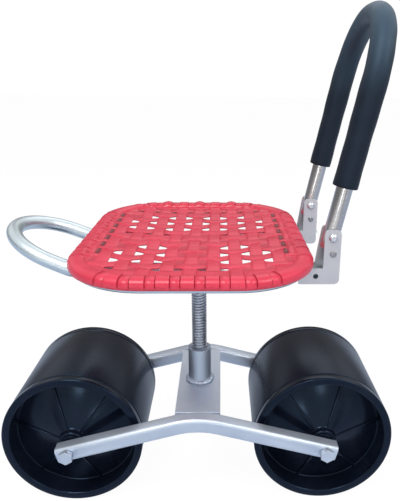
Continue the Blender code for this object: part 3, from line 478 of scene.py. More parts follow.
def steel_tube(name, deep, pale, smoothest, roughest, marked):
    """Plated steel tube: faint clouding between two greys, and drawn marks along it."""
    finish = Finish(name, Metallic=0.95)
    cloud = finish.noise(28.0, 3.0)
    marks = finish.noise(260.0, 2.0, at=finish.stretched(0.05, 1.0, 1.0))
    shade = finish.mix(cloud.within(0.3, 0.7), deep, pale)
    finish.set(Base_Color=finish.mix(finish.span(marks, 0.4, 0.7, 0.0, marked), shade, (0.82, 0.84, 0.86)))
    finish.set(Roughness=finish.span(cloud, 0.3, 0.7, smoothest, roughest))
    finish.bump(cloud, 0.02, 0.0002)
    return finish.material


def plated(name, deep, pale):
    """Plated hardware: a mottled, slightly dull skin between two greys."""
    finish = Finish(name, Metallic=0.85)
    mottle = finish.noise(240.0, 4.0)
    finish.set(Base_Color=finish.mix(mottle.within(0.3, 0.7), deep, pale))
    finish.set(Roughness=finish.span(mottle, 0.3, 0.7, 0.20, 0.34))
    finish.bump(mottle, 0.08, 0.0002)
    return finish.material


def oiled_screw():
    """Cut steel thread with a dark film of oil."""
    finish = Finish("oiled_screw", Metallic=0.88)
    film = finish.noise(130.0, 4.0, at=finish.stretched(1.0, 1.0, 0.35))
    shade = finish.mix(film.within(0.35, 0.7), (0.44, 0.47, 0.52), (0.66, 0.69, 0.74))
    finish.set(Base_Color=shade)
    finish.set(Roughness=finish.span(film, 0.3, 0.7, 0.26, 0.42))
    finish.bump(film, 0.08, 0.0002)
    return finish.material


def seat_plastic():
    """Red moulded plastic: soft satin skin, pinker where it is rubbed, with painted shade low on the rim
    and in its creases, grooves and pockets.
    """
    finish = Finish("seat_plastic", IOR=1.46, Specular_IOR_Level=0.60)
    cloud = finish.noise(34.0, 4.0)
    grain = finish.noise(1900.0, 2.0)
    height = finish.node("ShaderNodeSeparateXYZ", output=2, Vector=finish.place)
    # Painted shade: the rim turns a deeper red towards its lower, down-facing side.
    painted_rim_shade = height.within(PANEL_TOP - 0.0005, RIM_Z - 0.006)
    skin = finish.mix(cloud.within(0.3, 0.7), (0.600, 0.022, 0.058), (0.680, 0.034, 0.078))
    shade = finish.mix(painted_rim_shade, skin, (0.46, 0.006, 0.020))
    # Painted shade read from the mesh: creases, grooves between the rim's bands and pockets darken the
    # colour.
    painted_shade = finish.node("ShaderNodeAttribute", {"attribute_name": "painted_shade"}, output="Fac")
    finish.set(Base_Color=finish.mix(0.95 * painted_shade, shade, (0.11, 0.004, 0.010)))
    finish.set(Roughness=finish.span(cloud, 0.3, 0.7, 0.33, 0.43))
    finish.bump(grain, 0.10, 0.0002)
    return finish.material


def sleeve_foam():
    """Closed-cell foam skin: navy black with fine pores, with a painted highlight of lighter steel blue at
    the top of the arch.
    """
    finish = Finish("sleeve_foam", IOR=1.4, Specular_IOR_Level=0.6, Specular_Tint=(0.50, 0.72, 1.0, 1.0))
    pores = finish.node("ShaderNodeTexVoronoi", Vector=finish.place, Scale=1300.0)
    cloud = finish.noise(70.0, 4.0)
    height = finish.node("ShaderNodeSeparateXYZ", output=2, Vector=finish.place)
    # Painted highlight: the colour turns lighter and bluer towards the top of the arch.
    painted_top_highlight = height.within(0.52, 0.61)
    shade = finish.mix(cloud.within(0.3, 0.7), (0.0020, 0.0028, 0.0060), (0.0045, 0.0058, 0.0105))
    finish.set(Base_Color=finish.mix(painted_top_highlight, shade, (0.034, 0.060, 0.088)))
    finish.set(Roughness=finish.span(cloud, 0.3, 0.7, 0.46, 0.56))
    finish.bump(pores + 0.5 * cloud, 0.22, 0.0004)
    return finish.material


DRUM_PLASTIC = roller_plastic("drum_plastic", 0.24, 0.33)
CAP_PLASTIC = roller_plastic("cap_plastic", 0.15, 0.20)
FRAME_PAINT = silver_paint("frame_paint", (0.49, 0.56, 0.66), (0.58, 0.645, 0.73))
# The collar's copy of the frame paint is darker: painted shade from the seat above it.
SHADED_COLLAR_PAINT = silver_paint("shaded_collar_paint", (0.35, 0.42, 0.51), (0.42, 0.49, 0.60))
BRACKET_PAINT = silver_paint("bracket_paint", (0.46, 0.46, 0.49), (0.55, 0.55, 0.58))
HOOP_STEEL = steel_tube("hoop_steel", (0.56, 0.64, 0.68), (0.63, 0.71, 0.75), 0.32, 0.38, 0.03)
BACK_STEEL = steel_tube("backrest_steel", (0.41, 0.405, 0.41), (0.49, 0.48, 0.485), 0.13, 0.19, 0.12)
ZINC_PLATE = plated("zinc_plate", (0.50, 0.53, 0.58), (0.64, 0.66, 0.69))
DARK_PLATE = plated("dark_plate", (0.20, 0.21, 0.23), (0.34, 0.35, 0.37))
OILED_SCREW = oiled_screw()
SEAT_PLASTIC = seat_plastic()
SLEEVE_FOAM = sleeve_foam()


# Rollers
def cone_height(radius):
    """Height of an end cap's cone at a radius; zero is the roller's end face."""
    crest = HUB_NOSE - HUB_SHOULDER
    share = (radius - HUB_RADIUS) / (ROLLER_RADIUS - CAP_LIP - HUB_RADIUS)
    return crest - (crest + CAP_DEPTH) * share


def drum(side, x):
    """Drum tube between the two end caps."""
    end = ROLLER_WIDTH / 2 - CAP_RIM - TOUCH_GAP
    inner = ROLLER_RADIUS - DRUM_WALL
    profile = [(ROLLER_RADIUS, -end), (ROLLER_RADIUS, end), (inner, end), (inner, -end)]
    piece = turned_piece(side + "_drum", (x, 0.0, ROLLER_RADIUS), (0, 1, 0), profile, 128)
    round_edges(piece, DRUM_EDGE, 3)
    dress(smooth(piece), DRUM_PLASTIC, "roller_black", side + "_roller", side + "_drum_shell")


def cap_body(name, centre, outward):
    """End cap: lip, coned recess, hub, and the spigot inside the drum."""
    recess = ROLLER_RADIUS - CAP_LIP
    spigot = ROLLER_RADIUS - DRUM_WALL - TOUCH_GAP
    spigot_end = -CAP_RIM - CAP_SPIGOT
    bore = SLEEVE_DIAMETER / 2 + TOUCH_GAP
    crest = cone_height(HUB_RADIUS)
    profile = [
        (ROLLER_RADIUS, -CAP_RIM),
        (ROLLER_RADIUS, 0.0),
        (recess, 0.0),
        (recess - CAP_DRAFT, -CAP_DEPTH),
        (HUB_RADIUS + HUB_FILLET, crest),
        (HUB_RADIUS, crest + HUB_FILLET),
        (HUB_RADIUS, HUB_NOSE),
        (bore, HUB_NOSE),
        (bore, HUB_NOSE - HUB_LENGTH),
        (HUB_RADIUS, HUB_NOSE - HUB_LENGTH),
        (HUB_RADIUS, crest - CAP_WEB),
        (spigot, spigot_end),
        (spigot, -CAP_RIM),
    ]
    piece = turned_piece(name, centre, outward, profile, 128)
    return round_edges(piece, CAP_EDGE, 4, 40)


def cap_rib(centre, outward, angle):
    """A low radial rib that follows the cone from hub to rim."""
    inside = HUB_RADIUS - RIB_SINK
    outside = ROLLER_RADIUS - CAP_LIP
    deselect()
    bpy.ops.mesh.primitive_cube_add(size=1.0)
    rib = bpy.context.object
    radial = Vector((math.cos(angle), 0.0, math.sin(angle)))
    across = radial.cross(outward)
    for corner in rib.data.vertices:
        radius = inside if corner.co.x < 0 else outside
        is_crest = corner.co.z > 0
        level = cone_height(radius) + (RIB_HEIGHT if is_crest else -RIB_SINK)
        half = math.copysign(RIB_CREST if is_crest else RIB_FOOT, corner.co.y)
        corner.co = centre + radial * radius + outward * level + across * half
    settle(rib, "rib")
    return round_edges(rib, RIB_EDGE)


def cap(side, face, x, outward_y):
    """End cap with its ribs, on the front or the rear face of a roller."""
    outward = Vector((0.0, outward_y, 0.0))
    centre = Vector((x, outward_y * ROLLER_WIDTH / 2, ROLLER_RADIUS))
    piece = cap_body(f"{side}_{face}_end", centre, outward)
    ribs = []
    for index in range(RIB_COUNT):
        ribs.append(cap_rib(centre, outward, RIB_TURN[side] + math.tau * index / RIB_COUNT))
    joined(piece, *ribs)
    dress(smooth(piece), CAP_PLASTIC, "roller_black", side + "_roller", f"{side}_{face}_cap")


for roller_side, axle in (("left", -AXLE_X), ("right", AXLE_X)):
    drum(roller_side, axle)
    cap(roller_side, "front", axle, -1)
    cap(roller_side, "rear", axle, 1)


# Frame
def arch_slope():
    """Slope of the frame's arms, from the crown's bend down to the axles."""
    drop = FRAME_CROWN - ROLLER_RADIUS
    lever = math.hypot(AXLE_X, FRAME_BEND - drop)
    return math.asin(FRAME_BEND / lever) - math.atan2(FRAME_BEND - drop, AXLE_X)


def frame_tube(face, y):
    """Square tube: an arm, the bent crown and the other arm."""
    slope = arch_slope()
    arm = (AXLE_X - FRAME_BEND * math.sin(slope)) / math.cos(slope) + FRAME_END
    rise = Vector((math.cos(slope), 0.0, math.sin(slope)))
    fall = Vector((math.cos(slope), 0.0, -math.sin(slope)))
    bend_height = FRAME_CROWN - FRAME_BEND * (1 - math.cos(slope))
    bend_start = Vector((-FRAME_BEND * math.sin(slope), y, bend_height))
    piece = square_outline(bend_start - rise * arm, rise, FRAME_TUBE, FRAME_CORNER)
    pull(rise * arm)
    sweep_turn((0.0, y, FRAME_CROWN - FRAME_BEND), (0, 1, 0), 2 * slope, 16)
    pull(fall * arm)
    settle(piece, face + "_arch")
    modify(piece, "SOLIDIFY", thickness=FRAME_WALL, offset=-1.0, use_even_offset=True)
    for x in (-AXLE_X, AXLE_X):
        bored(piece, (x, y, ROLLER_RADIUS), AXLE_HOLE / 2, 2 * FRAME_TUBE)
    round_edges(piece, TUBE_EDGE, angle=60)
    dress(smooth(piece), FRAME_PAINT, "silver_paint", "base", face + "_frame_tube")


frame_tube("front", -FRAME_Y)
frame_tube("rear", FRAME_Y)


def collar():
    """Sleeve with a rippled weld bead round its foot."""
    outer = COLLAR_DIAMETER / 2
    bore = SCREW_DIAMETER / 2 + TOUCH_GAP
    bottom = DECK_TOP + TOUCH_GAP
    profile = [
        (outer, bottom + BEAD_HEIGHT),
        (outer, bottom + COLLAR_HEIGHT),
        (bore, bottom + COLLAR_HEIGHT),
        (bore, bottom),
    ]
    profile += [(outer + reach, bottom + height) for reach, height in BEAD_OUTLINE]
    piece = turned_piece("welded_collar", (0, 0, 0), (0, 0, 1), profile, 144)
    for corner in piece.data.vertices:
        radius = corner.co.xy.length
        if radius > outer + BEAD_FLAT and corner.co.z > bottom + BEAD_FLAT:
            angle = math.atan2(corner.co.y, corner.co.x)
            ripple = BEAD_RIPPLE * math.sin(24 * angle + 9 * math.sin(3 * angle))
            corner.co.xy *= (radius + ripple) / radius
            corner.co.z += 0.5 * ripple
    round_edges(piece, COLLAR_EDGE, angle=60)
    dress(smooth(piece), SHADED_COLLAR_PAINT, "silver_paint", "base", "screw_collar")


collar()


def lift_screw():
    """Core with a rolled thread, and the flange that carries the mount plate."""
    crest = SCREW_DIAMETER / 2
    root = crest - THREAD_DEPTH
    under = FLANGE_TOP - FLANGE_THICKNESS
    turns = int((under - SCREW_BOTTOM - SCREW_RUNOUT) / THREAD_PITCH)
    deselect()
    bpy.ops.mesh.primitive_circle_add(vertices=4, radius=crest)
    piece = bpy.context.object
    levels = [(root, 0.0), (crest, 0.15), (crest, 0.50), (root, 0.65)]
    for corner, (radius, share) in zip(piece.data.vertices, levels):
        corner.co = (radius, 0.0, SCREW_BOTTOM + share * THREAD_PITCH)
    modify(
        piece, "SCREW", axis="Z", angle=math.tau, screw_offset=THREAD_PITCH, iterations=turns,
        steps=THREAD_STEPS, render_steps=THREAD_STEPS, use_merge_vertices=False,
    )
    edit_whole()
    bpy.ops.mesh.remove_doubles(threshold=FINE_WELD_REACH)
    bpy.ops.mesh.fill_holes(sides=len(levels))
    settle(piece, "threaded_screw")
    hole = AXLE_HOLE / 2
    flange = FLANGE_DIAMETER / 2
    profile = [
        (root + THREAD_LAP, SCREW_BOTTOM),
        (root + THREAD_LAP, under - SCREW_RUNOUT),
        (crest, under - SCREW_NECK),
        (crest, under),
        (flange, under),
        (flange, FLANGE_TOP),
        (CENTRE_MARK, FLANGE_TOP),
        (CENTRE_MARK, SCREW_BOTTOM + STOP_HOLE_DEPTH),
        (hole, SCREW_BOTTOM + STOP_HOLE_DEPTH),
        (hole, SCREW_BOTTOM),
    ]
    core = turned_piece("screw_core", (0, 0, 0), (0, 0, 1), profile, 64)
    round_edges(core, SCREW_EDGE)
    joined(piece, core)
    dress(smooth(piece, 28), OILED_SCREW, "screw_steel", "seat", "lift_screw")


lift_screw()


# Seat
def rim_length():
    """Length of the rim's centre-line."""
    return 4 * (RIM_PATH_X + RIM_PATH_Y - 2 * SEAT_CORNER) + math.tau * SEAT_CORNER


def rim_place(distance):
    """Point and outward direction on the rim's centre-line, from the middle of the front edge."""
    quarter = SEAT_CORNER * math.pi / 2
    half_turn = rim_length() / 2
    distance %= 2 * half_turn
    flip = 1
    if distance >= half_turn:
        distance -= half_turn
        flip = -1
    if distance < STRAIGHT_X:
        point, angle = (distance, -RIM_PATH_Y), -math.pi / 2
    elif distance < STRAIGHT_X + quarter:
        angle = (distance - STRAIGHT_X) / SEAT_CORNER - math.pi / 2
        point = (STRAIGHT_X + SEAT_CORNER * math.cos(angle), SEAT_CORNER * math.sin(angle) - STRAIGHT_Y)
    elif distance < STRAIGHT_X + quarter + 2 * STRAIGHT_Y:
        point, angle = (RIM_PATH_X, distance - STRAIGHT_X - quarter - STRAIGHT_Y), 0.0
    elif distance < STRAIGHT_X + 2 * quarter + 2 * STRAIGHT_Y:
        angle = (distance - STRAIGHT_X - quarter - 2 * STRAIGHT_Y) / SEAT_CORNER
        point = (STRAIGHT_X + SEAT_CORNER * math.cos(angle), STRAIGHT_Y + SEAT_CORNER * math.sin(angle))
    else:
        point, angle = (half_turn - distance, RIM_PATH_Y), math.pi / 2
    outward = Vector((flip * math.cos(angle), flip * math.sin(angle)))
    return Vector((flip * point[0], flip * point[1])), outward


def rim_stations():
    """Places round the rim with the level of its wrap bands: raised, recessed or sunk lowest at a narrow
    band's edges.
    """
    side = rim_length() / 4
    half = NARROW_BAND / 2
    stations = []
    for quarter_turn, pitch in enumerate((COLUMN_PITCH, ROW_PITCH) * 2):
        for index in range(COLUMN_COUNT):
            middle = quarter_turn * side + (index - (COLUMN_COUNT - 1) / 2) * pitch
            for sign in (-1, 1):
                stations.append((middle + sign * (half - BAND_EDGE), RIM_RECESSED))
                stations.append((middle + sign * half, RIM_GROOVE))
                stations.append((middle + sign * (half + BAND_EDGE), RIM_RAISED))
            stations.append((middle, RIM_RECESSED))
            reach = pitch / 2 if index < COLUMN_COUNT - 1 else END_BAND_REACH
            at_bump = quarter_turn == 2 and index in BUMPED_BANDS
            stations.append((middle + reach, BACK_BUMP if at_bump else RIM_RAISED))
    stations = sorted((distance % rim_length(), level) for distance, level in stations)
    filled = []
    first_again = (stations[0][0] + rim_length(), stations[0][1])
    for here, after in zip(stations, stations[1:] + [first_again]):
        filled.append(here)
        gap = after[0] - here[0]
        if gap > CORNER_GAP:
            steps = int(gap / CORNER_STEP)
            filled += [(here[0] + gap * step / (steps + 1), 0.0) for step in range(1, steps + 1)]
    return filled


def held(share):
    """A share, held between 0 and 1."""
    return min(max(share, 0.0), 1.0)


def rim_section():
    """Rim outline as (outward, up, share of the bands' relief).

    It runs over the top from the inner lip to the outer one, and back round the ring's channel.
    """
    outline = []
    for degrees in range(208, -31, -14):
        angle = math.radians(degrees)
        past_inner_lip = held((150 - degrees) / 25)
        before_outer_lip = held((degrees + 22) / 14)
        share = past_inner_lip * before_outer_lip
        power = 2.5 if math.sin(angle) > 0 else 2.0
        flatter = (abs(math.cos(angle)) ** power + abs(math.sin(angle)) ** power) ** (-1 / power)
        outward = RIM_WIDTH / 2 * math.cos(angle) * flatter
        outline.append((outward, RIM_HEIGHT / 2 * math.sin(angle) * flatter, share))
    channel = RING_RADIUS + TOUCH_GAP
    for degrees in range(-15, 200, 30):
        angle = math.radians(degrees)
        outline.append((channel * math.cos(angle), RING_Z - RIM_Z + channel * math.sin(angle), 0.0))
    return outline


def wrapped_rim():
    """The rim, moulded as bands wrapped over the ring."""
    stations = rim_stations()
    section = rim_section()
    deselect()
    bpy.ops.mesh.primitive_grid_add(x_subdivisions=len(stations), y_subdivisions=len(section), size=1.0)
    piece = bpy.context.object
    # The layer holds painted shade, which the seat's finish reads as darker colour.
    depth = piece.data.attributes.new("painted_shade", "FLOAT", "POINT")
    for corner, shade in zip(piece.data.vertices, depth.data):
        distance, level = stations[round((corner.co.x + 0.5) * len(stations)) % len(stations)]
        outward, up, share = section[round((corner.co.y + 0.5) * len(section)) % len(section)]
        point, direction = rim_place(distance)
        slant = Vector((outward / (RIM_WIDTH / 2), up / (RIM_HEIGHT / 2))).normalized()
        outward += slant.x * (min(level, RIM_RAISED) - RIM_RAISED) * share
        up += slant.y * level * share
        # Painted shade: the rim is made dark in the grooves between its bands.
        shade.value = BAND_SHADE * share if level < RIM_RECESSED else 0.0
        flat = point + direction * outward
        corner.co = (flat.x + SEAT_OFFSET, flat.y, RIM_Z + up)
    return settle(piece, "wrapped_rim")


# Rows of holes from front to back: middle, height and the open columns
ALL_COLUMNS = range(COLUMN_COUNT)
MIDDLE_COLUMNS = ALL_COLUMNS[1:-1]
OUTER_COLUMNS = (0, 1, 2, 5, 6, 7)
HOLE_ROWS = [
    (-4.45 * ROW_PITCH, 0.65 * HOLE_HEIGHT, (0, 2, 3, 4, 5)),
    (-3.5 * ROW_PITCH, HOLE_HEIGHT, OUTER_COLUMNS),
    (-2.5 * ROW_PITCH, HOLE_HEIGHT, OUTER_COLUMNS),
    (-1.5 * ROW_PITCH, HOLE_HEIGHT, (1, 2, 5, 6)),
    (-0.5 * ROW_PITCH, 0.35 * HOLE_HEIGHT, ()),
    (0.5 * ROW_PITCH, 0.5 * HOLE_HEIGHT, OUTER_COLUMNS),
    (1.5 * ROW_PITCH, HOLE_HEIGHT, ALL_COLUMNS),
    (2.5 * ROW_PITCH, HOLE_HEIGHT, ALL_COLUMNS),
    (3.5 * ROW_PITCH, HOLE_HEIGHT, MIDDLE_COLUMNS),
    (4.5 * ROW_PITCH, 0.35 * HOLE_HEIGHT, ()),
    (5.2 * ROW_PITCH, 0.25 * HOLE_HEIGHT, MIDDLE_COLUMNS),
]
SLOT_ROWS = range(2, 10)
SHADED_POCKET_ROW = 9
WEAVE_RISE = 0.0005
EDGE_OVER = 0.75 * WEAVE_RISE
EDGE_UNDER = -0.9 * WEAVE_RISE
PASSING_RISE = 0.6 * WEAVE_RISE
CORNER_DIP = -0.3 * WEAVE_RISE
CREASE_LEVEL = -0.5 * WEAVE_RISE
STRAP_CROWN = 0.0004
SLOT_DEPTH = 0.0012
STRAP_SHARES = (0.0, 0.05, 0.16, 0.35, 0.65, 0.84, 0.95)
GAP_SHARES = (0.0, 0.2, 0.8)

# Painted shade: how dark the seat's colour is made in its creases, between the rim's bands and in its
# pockets
CREASE_SHADE = 0.2
BAND_SHADE = 0.7
POCKET_SHADE = 1.0


def panel_climb(x, y):
    """How far the dished panel climbs from its flat middle at a place in the seat."""
    past_x = abs(x) - (3 * COLUMN_PITCH - HOLE_WIDTH) / 2
    past_y = abs(y) - 1.5 * ROW_PITCH
    return math.hypot(math.tan(DISH_TILT_X) * max(past_x, 0.0), math.tan(DISH_TILT_Y) * max(past_y, 0.0))


def inside_rim(x, y):
    """The point, or the nearest one to it that is hidden inside the rim."""
    past_x = max(abs(x) - STRAIGHT_X, 0.0)
    past_y = max(abs(y) - STRAIGHT_Y, 0.0)
    past = math.hypot(past_x, past_y)
    limit = SEAT_CORNER - 0.25 * RIM_WIDTH
    if past <= limit:
        return x, y
    shrink = limit / past
    return (
        math.copysign(min(abs(x), STRAIGHT_X) + past_x * shrink, x),
        math.copysign(min(abs(y), STRAIGHT_Y) + past_y * shrink, y),
    )


class Weave:
    """Straps over and under each other: where their edges run and how high they stand."""

    def __init__(self):
        slot = RIM_PATH_X - RIM_WIDTH / 2 - SLOT_INSET - SLOT_WIDTH / 2
        middle = (COLUMN_COUNT - 1) / 2
        columns = [((index - middle) * COLUMN_PITCH, HOLE_WIDTH) for index in ALL_COLUMNS]
        self.bands_x = [(-slot, SLOT_WIDTH), *columns, (slot, SLOT_WIDTH)]
        self.bands_y = [(y, height) for y, height, _ in HOLE_ROWS]
        self.lines_x = self.edges(self.bands_x, RIM_PATH_X)
        self.lines_y = self.edges(self.bands_y, RIM_PATH_Y)
        self.steps_x = self.fine_steps(self.lines_x)
        self.steps_y = self.fine_steps(self.lines_y)

    @staticmethod
    def edges(bands, end):
        """Lines between straps and gaps, from one end of the panel to the other."""
        return [-end] + [middle + side * width / 2 for middle, width in bands for side in (-1, 1)] + [end]

    @staticmethod
    def fine_steps(lines):
        """(cell, share) of each fine line: straps get a crisp edge and a crown, gaps a floor."""
        steps = []
        for cell in range(len(lines) - 1):
            shares = STRAP_SHARES if cell % 2 == 0 else GAP_SHARES
            steps += [(cell, share) for share in shares]
        return steps + [(len(lines) - 1, 0.0)]

    def is_pocket(self, column, row):
        """Whether a cell is a pocket painted dark as shade: a slot beside the rim, or one in the back row.
        """
        if column % 2 == 0 or row % 2 == 0:
            return False
        if column in (1, len(self.lines_x) - 3):
            return row // 2 in SLOT_ROWS
        return row // 2 == SHADED_POCKET_ROW

    @staticmethod
    def is_open(band_x, band_y):
        """Whether a gap is a hole right through the panel."""
        return band_x - 1 in HOLE_ROWS[band_y][2]

    def corner(self, column, row):
        """A crossing's corner, drawn in on the narrow side of a tapered hole and out to a slot's end."""
        x = self.lines_x[column]
        y = self.lines_y[row]
        if 0 < column < len(self.lines_x) - 1 and 0 < row < len(self.lines_y) - 1:
            band_x = (column - 1) // 2
            band_y = (row - 1) // 2
            middle, height = self.bands_y[band_y]
            if band_x in (0, len(self.bands_x) - 1) and band_y in SLOT_ROWS:
                y = middle + (y - middle) * HOLE_HEIGHT / height
            elif self.is_open(band_x, band_y) and (column - 1) % 2 != (band_x + band_y) % 2:
                y = middle + (y - middle) * HOLE_TAPER
        return Vector((x, y))

    def flat_place(self, column, share_x, row, share_y):
        """Place in the seat of a share of the way across a cell."""
        next_column = min(column + 1, len(self.lines_x) - 1)
        next_row = min(row + 1, len(self.lines_y) - 1)
        low = self.corner(column, row).lerp(self.corner(next_column, row), share_x)
        high = self.corner(column, next_row).lerp(self.corner(next_column, next_row), share_x)
        return low.lerp(high, share_y)

    @staticmethod
    def passing(over, share, crown):
        """Height of a strap on its way from one crossing to the next; share 0 is a crossing's edge."""
        if share == 0.0:
            return EDGE_OVER + crown if over else EDGE_UNDER
        return math.copysign(PASSING_RISE, over - 0.5) * (1 - 2 * share) + crown

    def height(self, column, share_x, row, share_y):
        """Height of the upper strap here, above the panel's level."""
        x_is_over = (column // 2 + row // 2) % 2 == 0
        in_strap_y = column % 2 == 0
        in_strap_x = row % 2 == 0
        crown_x = STRAP_CROWN * (1 - (2 * share_y - 1) ** 2)
        crown_y = STRAP_CROWN * (1 - (2 * share_x - 1) ** 2)
        on_line_x = share_x == 0.0
        on_line_y = share_y == 0.0
        if on_line_x and on_line_y:
            return CORNER_DIP
        if in_strap_x and not on_line_y and (on_line_x or not in_strap_y):
            return self.passing(x_is_over, share_x, crown_x)
        if in_strap_y and not on_line_x and (on_line_y or not in_strap_x):
            return self.passing(not x_is_over, share_y, crown_y)
        if in_strap_x and in_strap_y:
            return WEAVE_RISE + (crown_x if x_is_over else crown_y)
        return EDGE_UNDER


def woven_panel():
    """Dished panel of straps, open at its holes, with painted shade in its creases and pockets."""
    weave = Weave()
    count_x = len(weave.steps_x) - 1
    count_y = len(weave.steps_y) - 1
    deselect()
    bpy.ops.mesh.primitive_grid_add(x_subdivisions=count_x, y_subdivisions=count_y, size=1.0)
    piece = bpy.context.object
    bpy.ops.object.mode_set(mode="EDIT")
    bpy.ops.mesh.select_all(action="DESELECT")
    bpy.ops.mesh.select_mode(type="FACE")
    work = bmesh.from_edit_mesh(piece.data)
    painted_shade = work.verts.layers.float.new("painted_shade")
    for face in work.faces:
        middle = face.calc_center_median()
        column = weave.steps_x[int((middle.x + 0.5) * count_x)][0]
        row = weave.steps_y[int((middle.y + 0.5) * count_y)][0]
        if column % 2 and row % 2 and weave.is_open(column // 2, row // 2):
            face.select = True
    for corner in work.verts:
        column, share_x = weave.steps_x[round((corner.co.x + 0.5) * count_x)]
        row, share_y = weave.steps_y[round((corner.co.y + 0.5) * count_y)]
        flat = weave.flat_place(column, share_x, row, share_y)
        x, y = inside_rim(flat.x, flat.y)
        level = PANEL_TOP + panel_climb(x, y)
        relief = weave.height(column, share_x, row, share_y)
        # Painted shade: creases below the straps, and each pocket with its far wall, are marked dark in the
        # layer.
        corner[painted_shade] = CREASE_SHADE if relief < CREASE_LEVEL else 0.0
        if share_x > 0.0 and share_y > 0.0 and weave.is_pocket(column, row):
            relief -= SLOT_DEPTH
            corner[painted_shade] = POCKET_SHADE
        elif share_x > 0.0 and share_y == 0.0 and weave.is_pocket(column, row - 1):
            corner[painted_shade] = POCKET_SHADE
        corner.co = (x + SEAT_OFFSET, y, level + relief)
    bmesh.update_edit_mesh(piece.data)
    bpy.ops.mesh.delete(type="FACE")
    bpy.ops.mesh.select_mode(type="VERT")
    object_mode()
    activate(piece)
    modify(piece, "SOLIDIFY", thickness=PANEL_THICKNESS, offset=-1.0)
    return piece


def woven_seat():
    """Panel and rim as one moulding."""
    piece = joined(woven_panel(), wrapped_rim())
    piece.name = "woven_seat"
    dress(smooth(piece, 50), SEAT_PLASTIC, "seat_red", "seat", "seat_shell")


woven_seat()


def seat_ring():
    """Bent rod in the rim: four runs and four quarter turns."""
    piece = ring_outline((SEAT_OFFSET - STRAIGHT_X, -RIM_PATH_Y, RING_Z), (1, 0, 0), RING_RADIUS, 20)
    quarter_turns = [
        ((2 * STRAIGHT_X, 0.0, 0.0), (STRAIGHT_X, -STRAIGHT_Y)),
        ((0.0, 2 * STRAIGHT_Y, 0.0), (STRAIGHT_X, STRAIGHT_Y)),
        ((-2 * STRAIGHT_X, 0.0, 0.0), (-STRAIGHT_X, STRAIGHT_Y)),
        ((0.0, -2 * STRAIGHT_Y, 0.0), (-STRAIGHT_X, -STRAIGHT_Y)),
    ]
    for run, (x, y) in quarter_turns:
        pull(run)
        sweep_turn((x + SEAT_OFFSET, y, RING_Z), (0, 0, 1), math.pi / 2, 14)
    settle(piece, "bent_ring")
    dress(smooth(piece), HOOP_STEEL, "bright_tube", "seat", "seat_ring")


seat_ring()


def seat_hoop():
    """Bent tube: near leg, knee, hand hoop, knee and far leg."""
    setback = HOOP_KNEE_BEND * math.tan(HOOP_TILT / 2)
    bend_start = LEG_END - HOOP_KNEE - setback
    bend_length = HOOP_KNEE_BEND * HOOP_TILT
    length = bend_start + bend_length + HOOP_REACH - setback - HOOP_TIP
    reach = length - HOOP_PARALLEL
    taper = math.acos(HOOP_TIP / math.hypot(LEG_Y, reach)) - math.atan2(reach, LEG_Y)

    def lifted(run, side):
        """Place on the tube's level leg, knee or tilted hoop, from the run along it."""
        if run <= bend_start:
            return Vector((LEG_END - run, side, LEG_Z))
        angle = min((run - bend_start) / HOOP_KNEE_BEND, HOOP_TILT)
        past = max(run - bend_start - bend_length, 0.0)
        x = LEG_END - bend_start - HOOP_KNEE_BEND * math.sin(angle) - past * math.cos(HOOP_TILT)
        z = LEG_Z + HOOP_KNEE_BEND * (1 - math.cos(angle)) + past * math.sin(HOOP_TILT)
        return Vector((x, side, z))

    def side_at(run):
        """Half the spacing of the legs, which close in after their parallel part."""
        return LEG_Y - max(run - HOOP_PARALLEL, 0.0) * math.tan(taper)

    tip_start = length + HOOP_TIP * math.sin(taper)
    runs = [0.0, HOOP_PARALLEL, bend_start]
    runs += [bend_start + bend_length * step / KNEE_STEPS for step in range(1, KNEE_STEPS + 1)]
    runs.append(tip_start)
    places = [lifted(run, -side_at(run)) for run in runs]
    piece = ring_outline(places[0], (-1, 0, 0), HOOP_RADIUS, 32)
    for here, after in zip(places, places[1:]):
        pull(after - here)
    tilted_up = Vector((math.sin(HOOP_TILT), 0.0, math.cos(HOOP_TILT)))
    sweep_turn(lifted(length, 0.0), -tilted_up, math.pi - 2 * taper, 32)
    back = [lifted(run, side_at(run)) for run in reversed(runs)]
    for here, after in zip(back, back[1:]):
        pull(after - here)
    settle(piece, "bent_hoop")
    modify(piece, "SOLIDIFY", thickness=TUBE_WALL, offset=-1.0, use_even_offset=True)
    bored(piece, (LEG_HOLE_X, 0.0, LEG_Z), LEG_HOLE_RADIUS, DRILL_LENGTH)
    round_edges(piece, TUBE_EDGE, angle=60)
    dress(smooth(piece), HOOP_STEEL, "bright_tube", "seat", "seat_hoop")


seat_hoop()


# Backrest
LEAN = Matrix.Translation(PIVOT) @ Matrix.Rotation(BACK_LEAN, 4, "Y")


def arched_skin(name, start, radius, sides):
    """Open skin of a round bar over the backrest's arch, from a height on each leg."""
    middle = LEG_Y - BACK_BEND
    piece = ring_outline((0.0, -LEG_Y, start), (0, 0, 1), radius, sides)
    step = (BACK_STRAIGHT - start) / BACK_LEG_STEPS
    for _ in range(BACK_LEG_STEPS):
        pull((0.0, 0.0, step))
    sweep_turn((0.0, -middle, BACK_STRAIGHT), (-1, 0, 0), math.pi / 2, BACK_BEND_STEPS)
    pull((0.0, 2 * middle, 0.0))
    sweep_turn((0.0, middle, BACK_STRAIGHT), (-1, 0, 0), math.pi / 2, BACK_BEND_STEPS)
    for _ in range(BACK_LEG_STEPS):
        pull((0.0, 0.0, -step))
    return settle(piece, name)


def backrest_tube():
    """U-bent tube, drilled for the pivot bolts and leaned back."""
    piece = arched_skin("bent_backrest", -BACK_TAIL, HOOP_RADIUS, 32)
    modify(piece, "SOLIDIFY", thickness=TUBE_WALL, offset=-1.0, use_even_offset=True)
    bored(piece, (0.0, 0.0, 0.0), PIVOT_HOLE / 2, DRILL_LENGTH)
    piece.data.transform(LEAN)
    round_edges(piece, TUBE_EDGE, angle=60)
    dress(smooth(piece), BACK_STEEL, "bright_tube", "backrest", "backrest_tube")


backrest_tube()


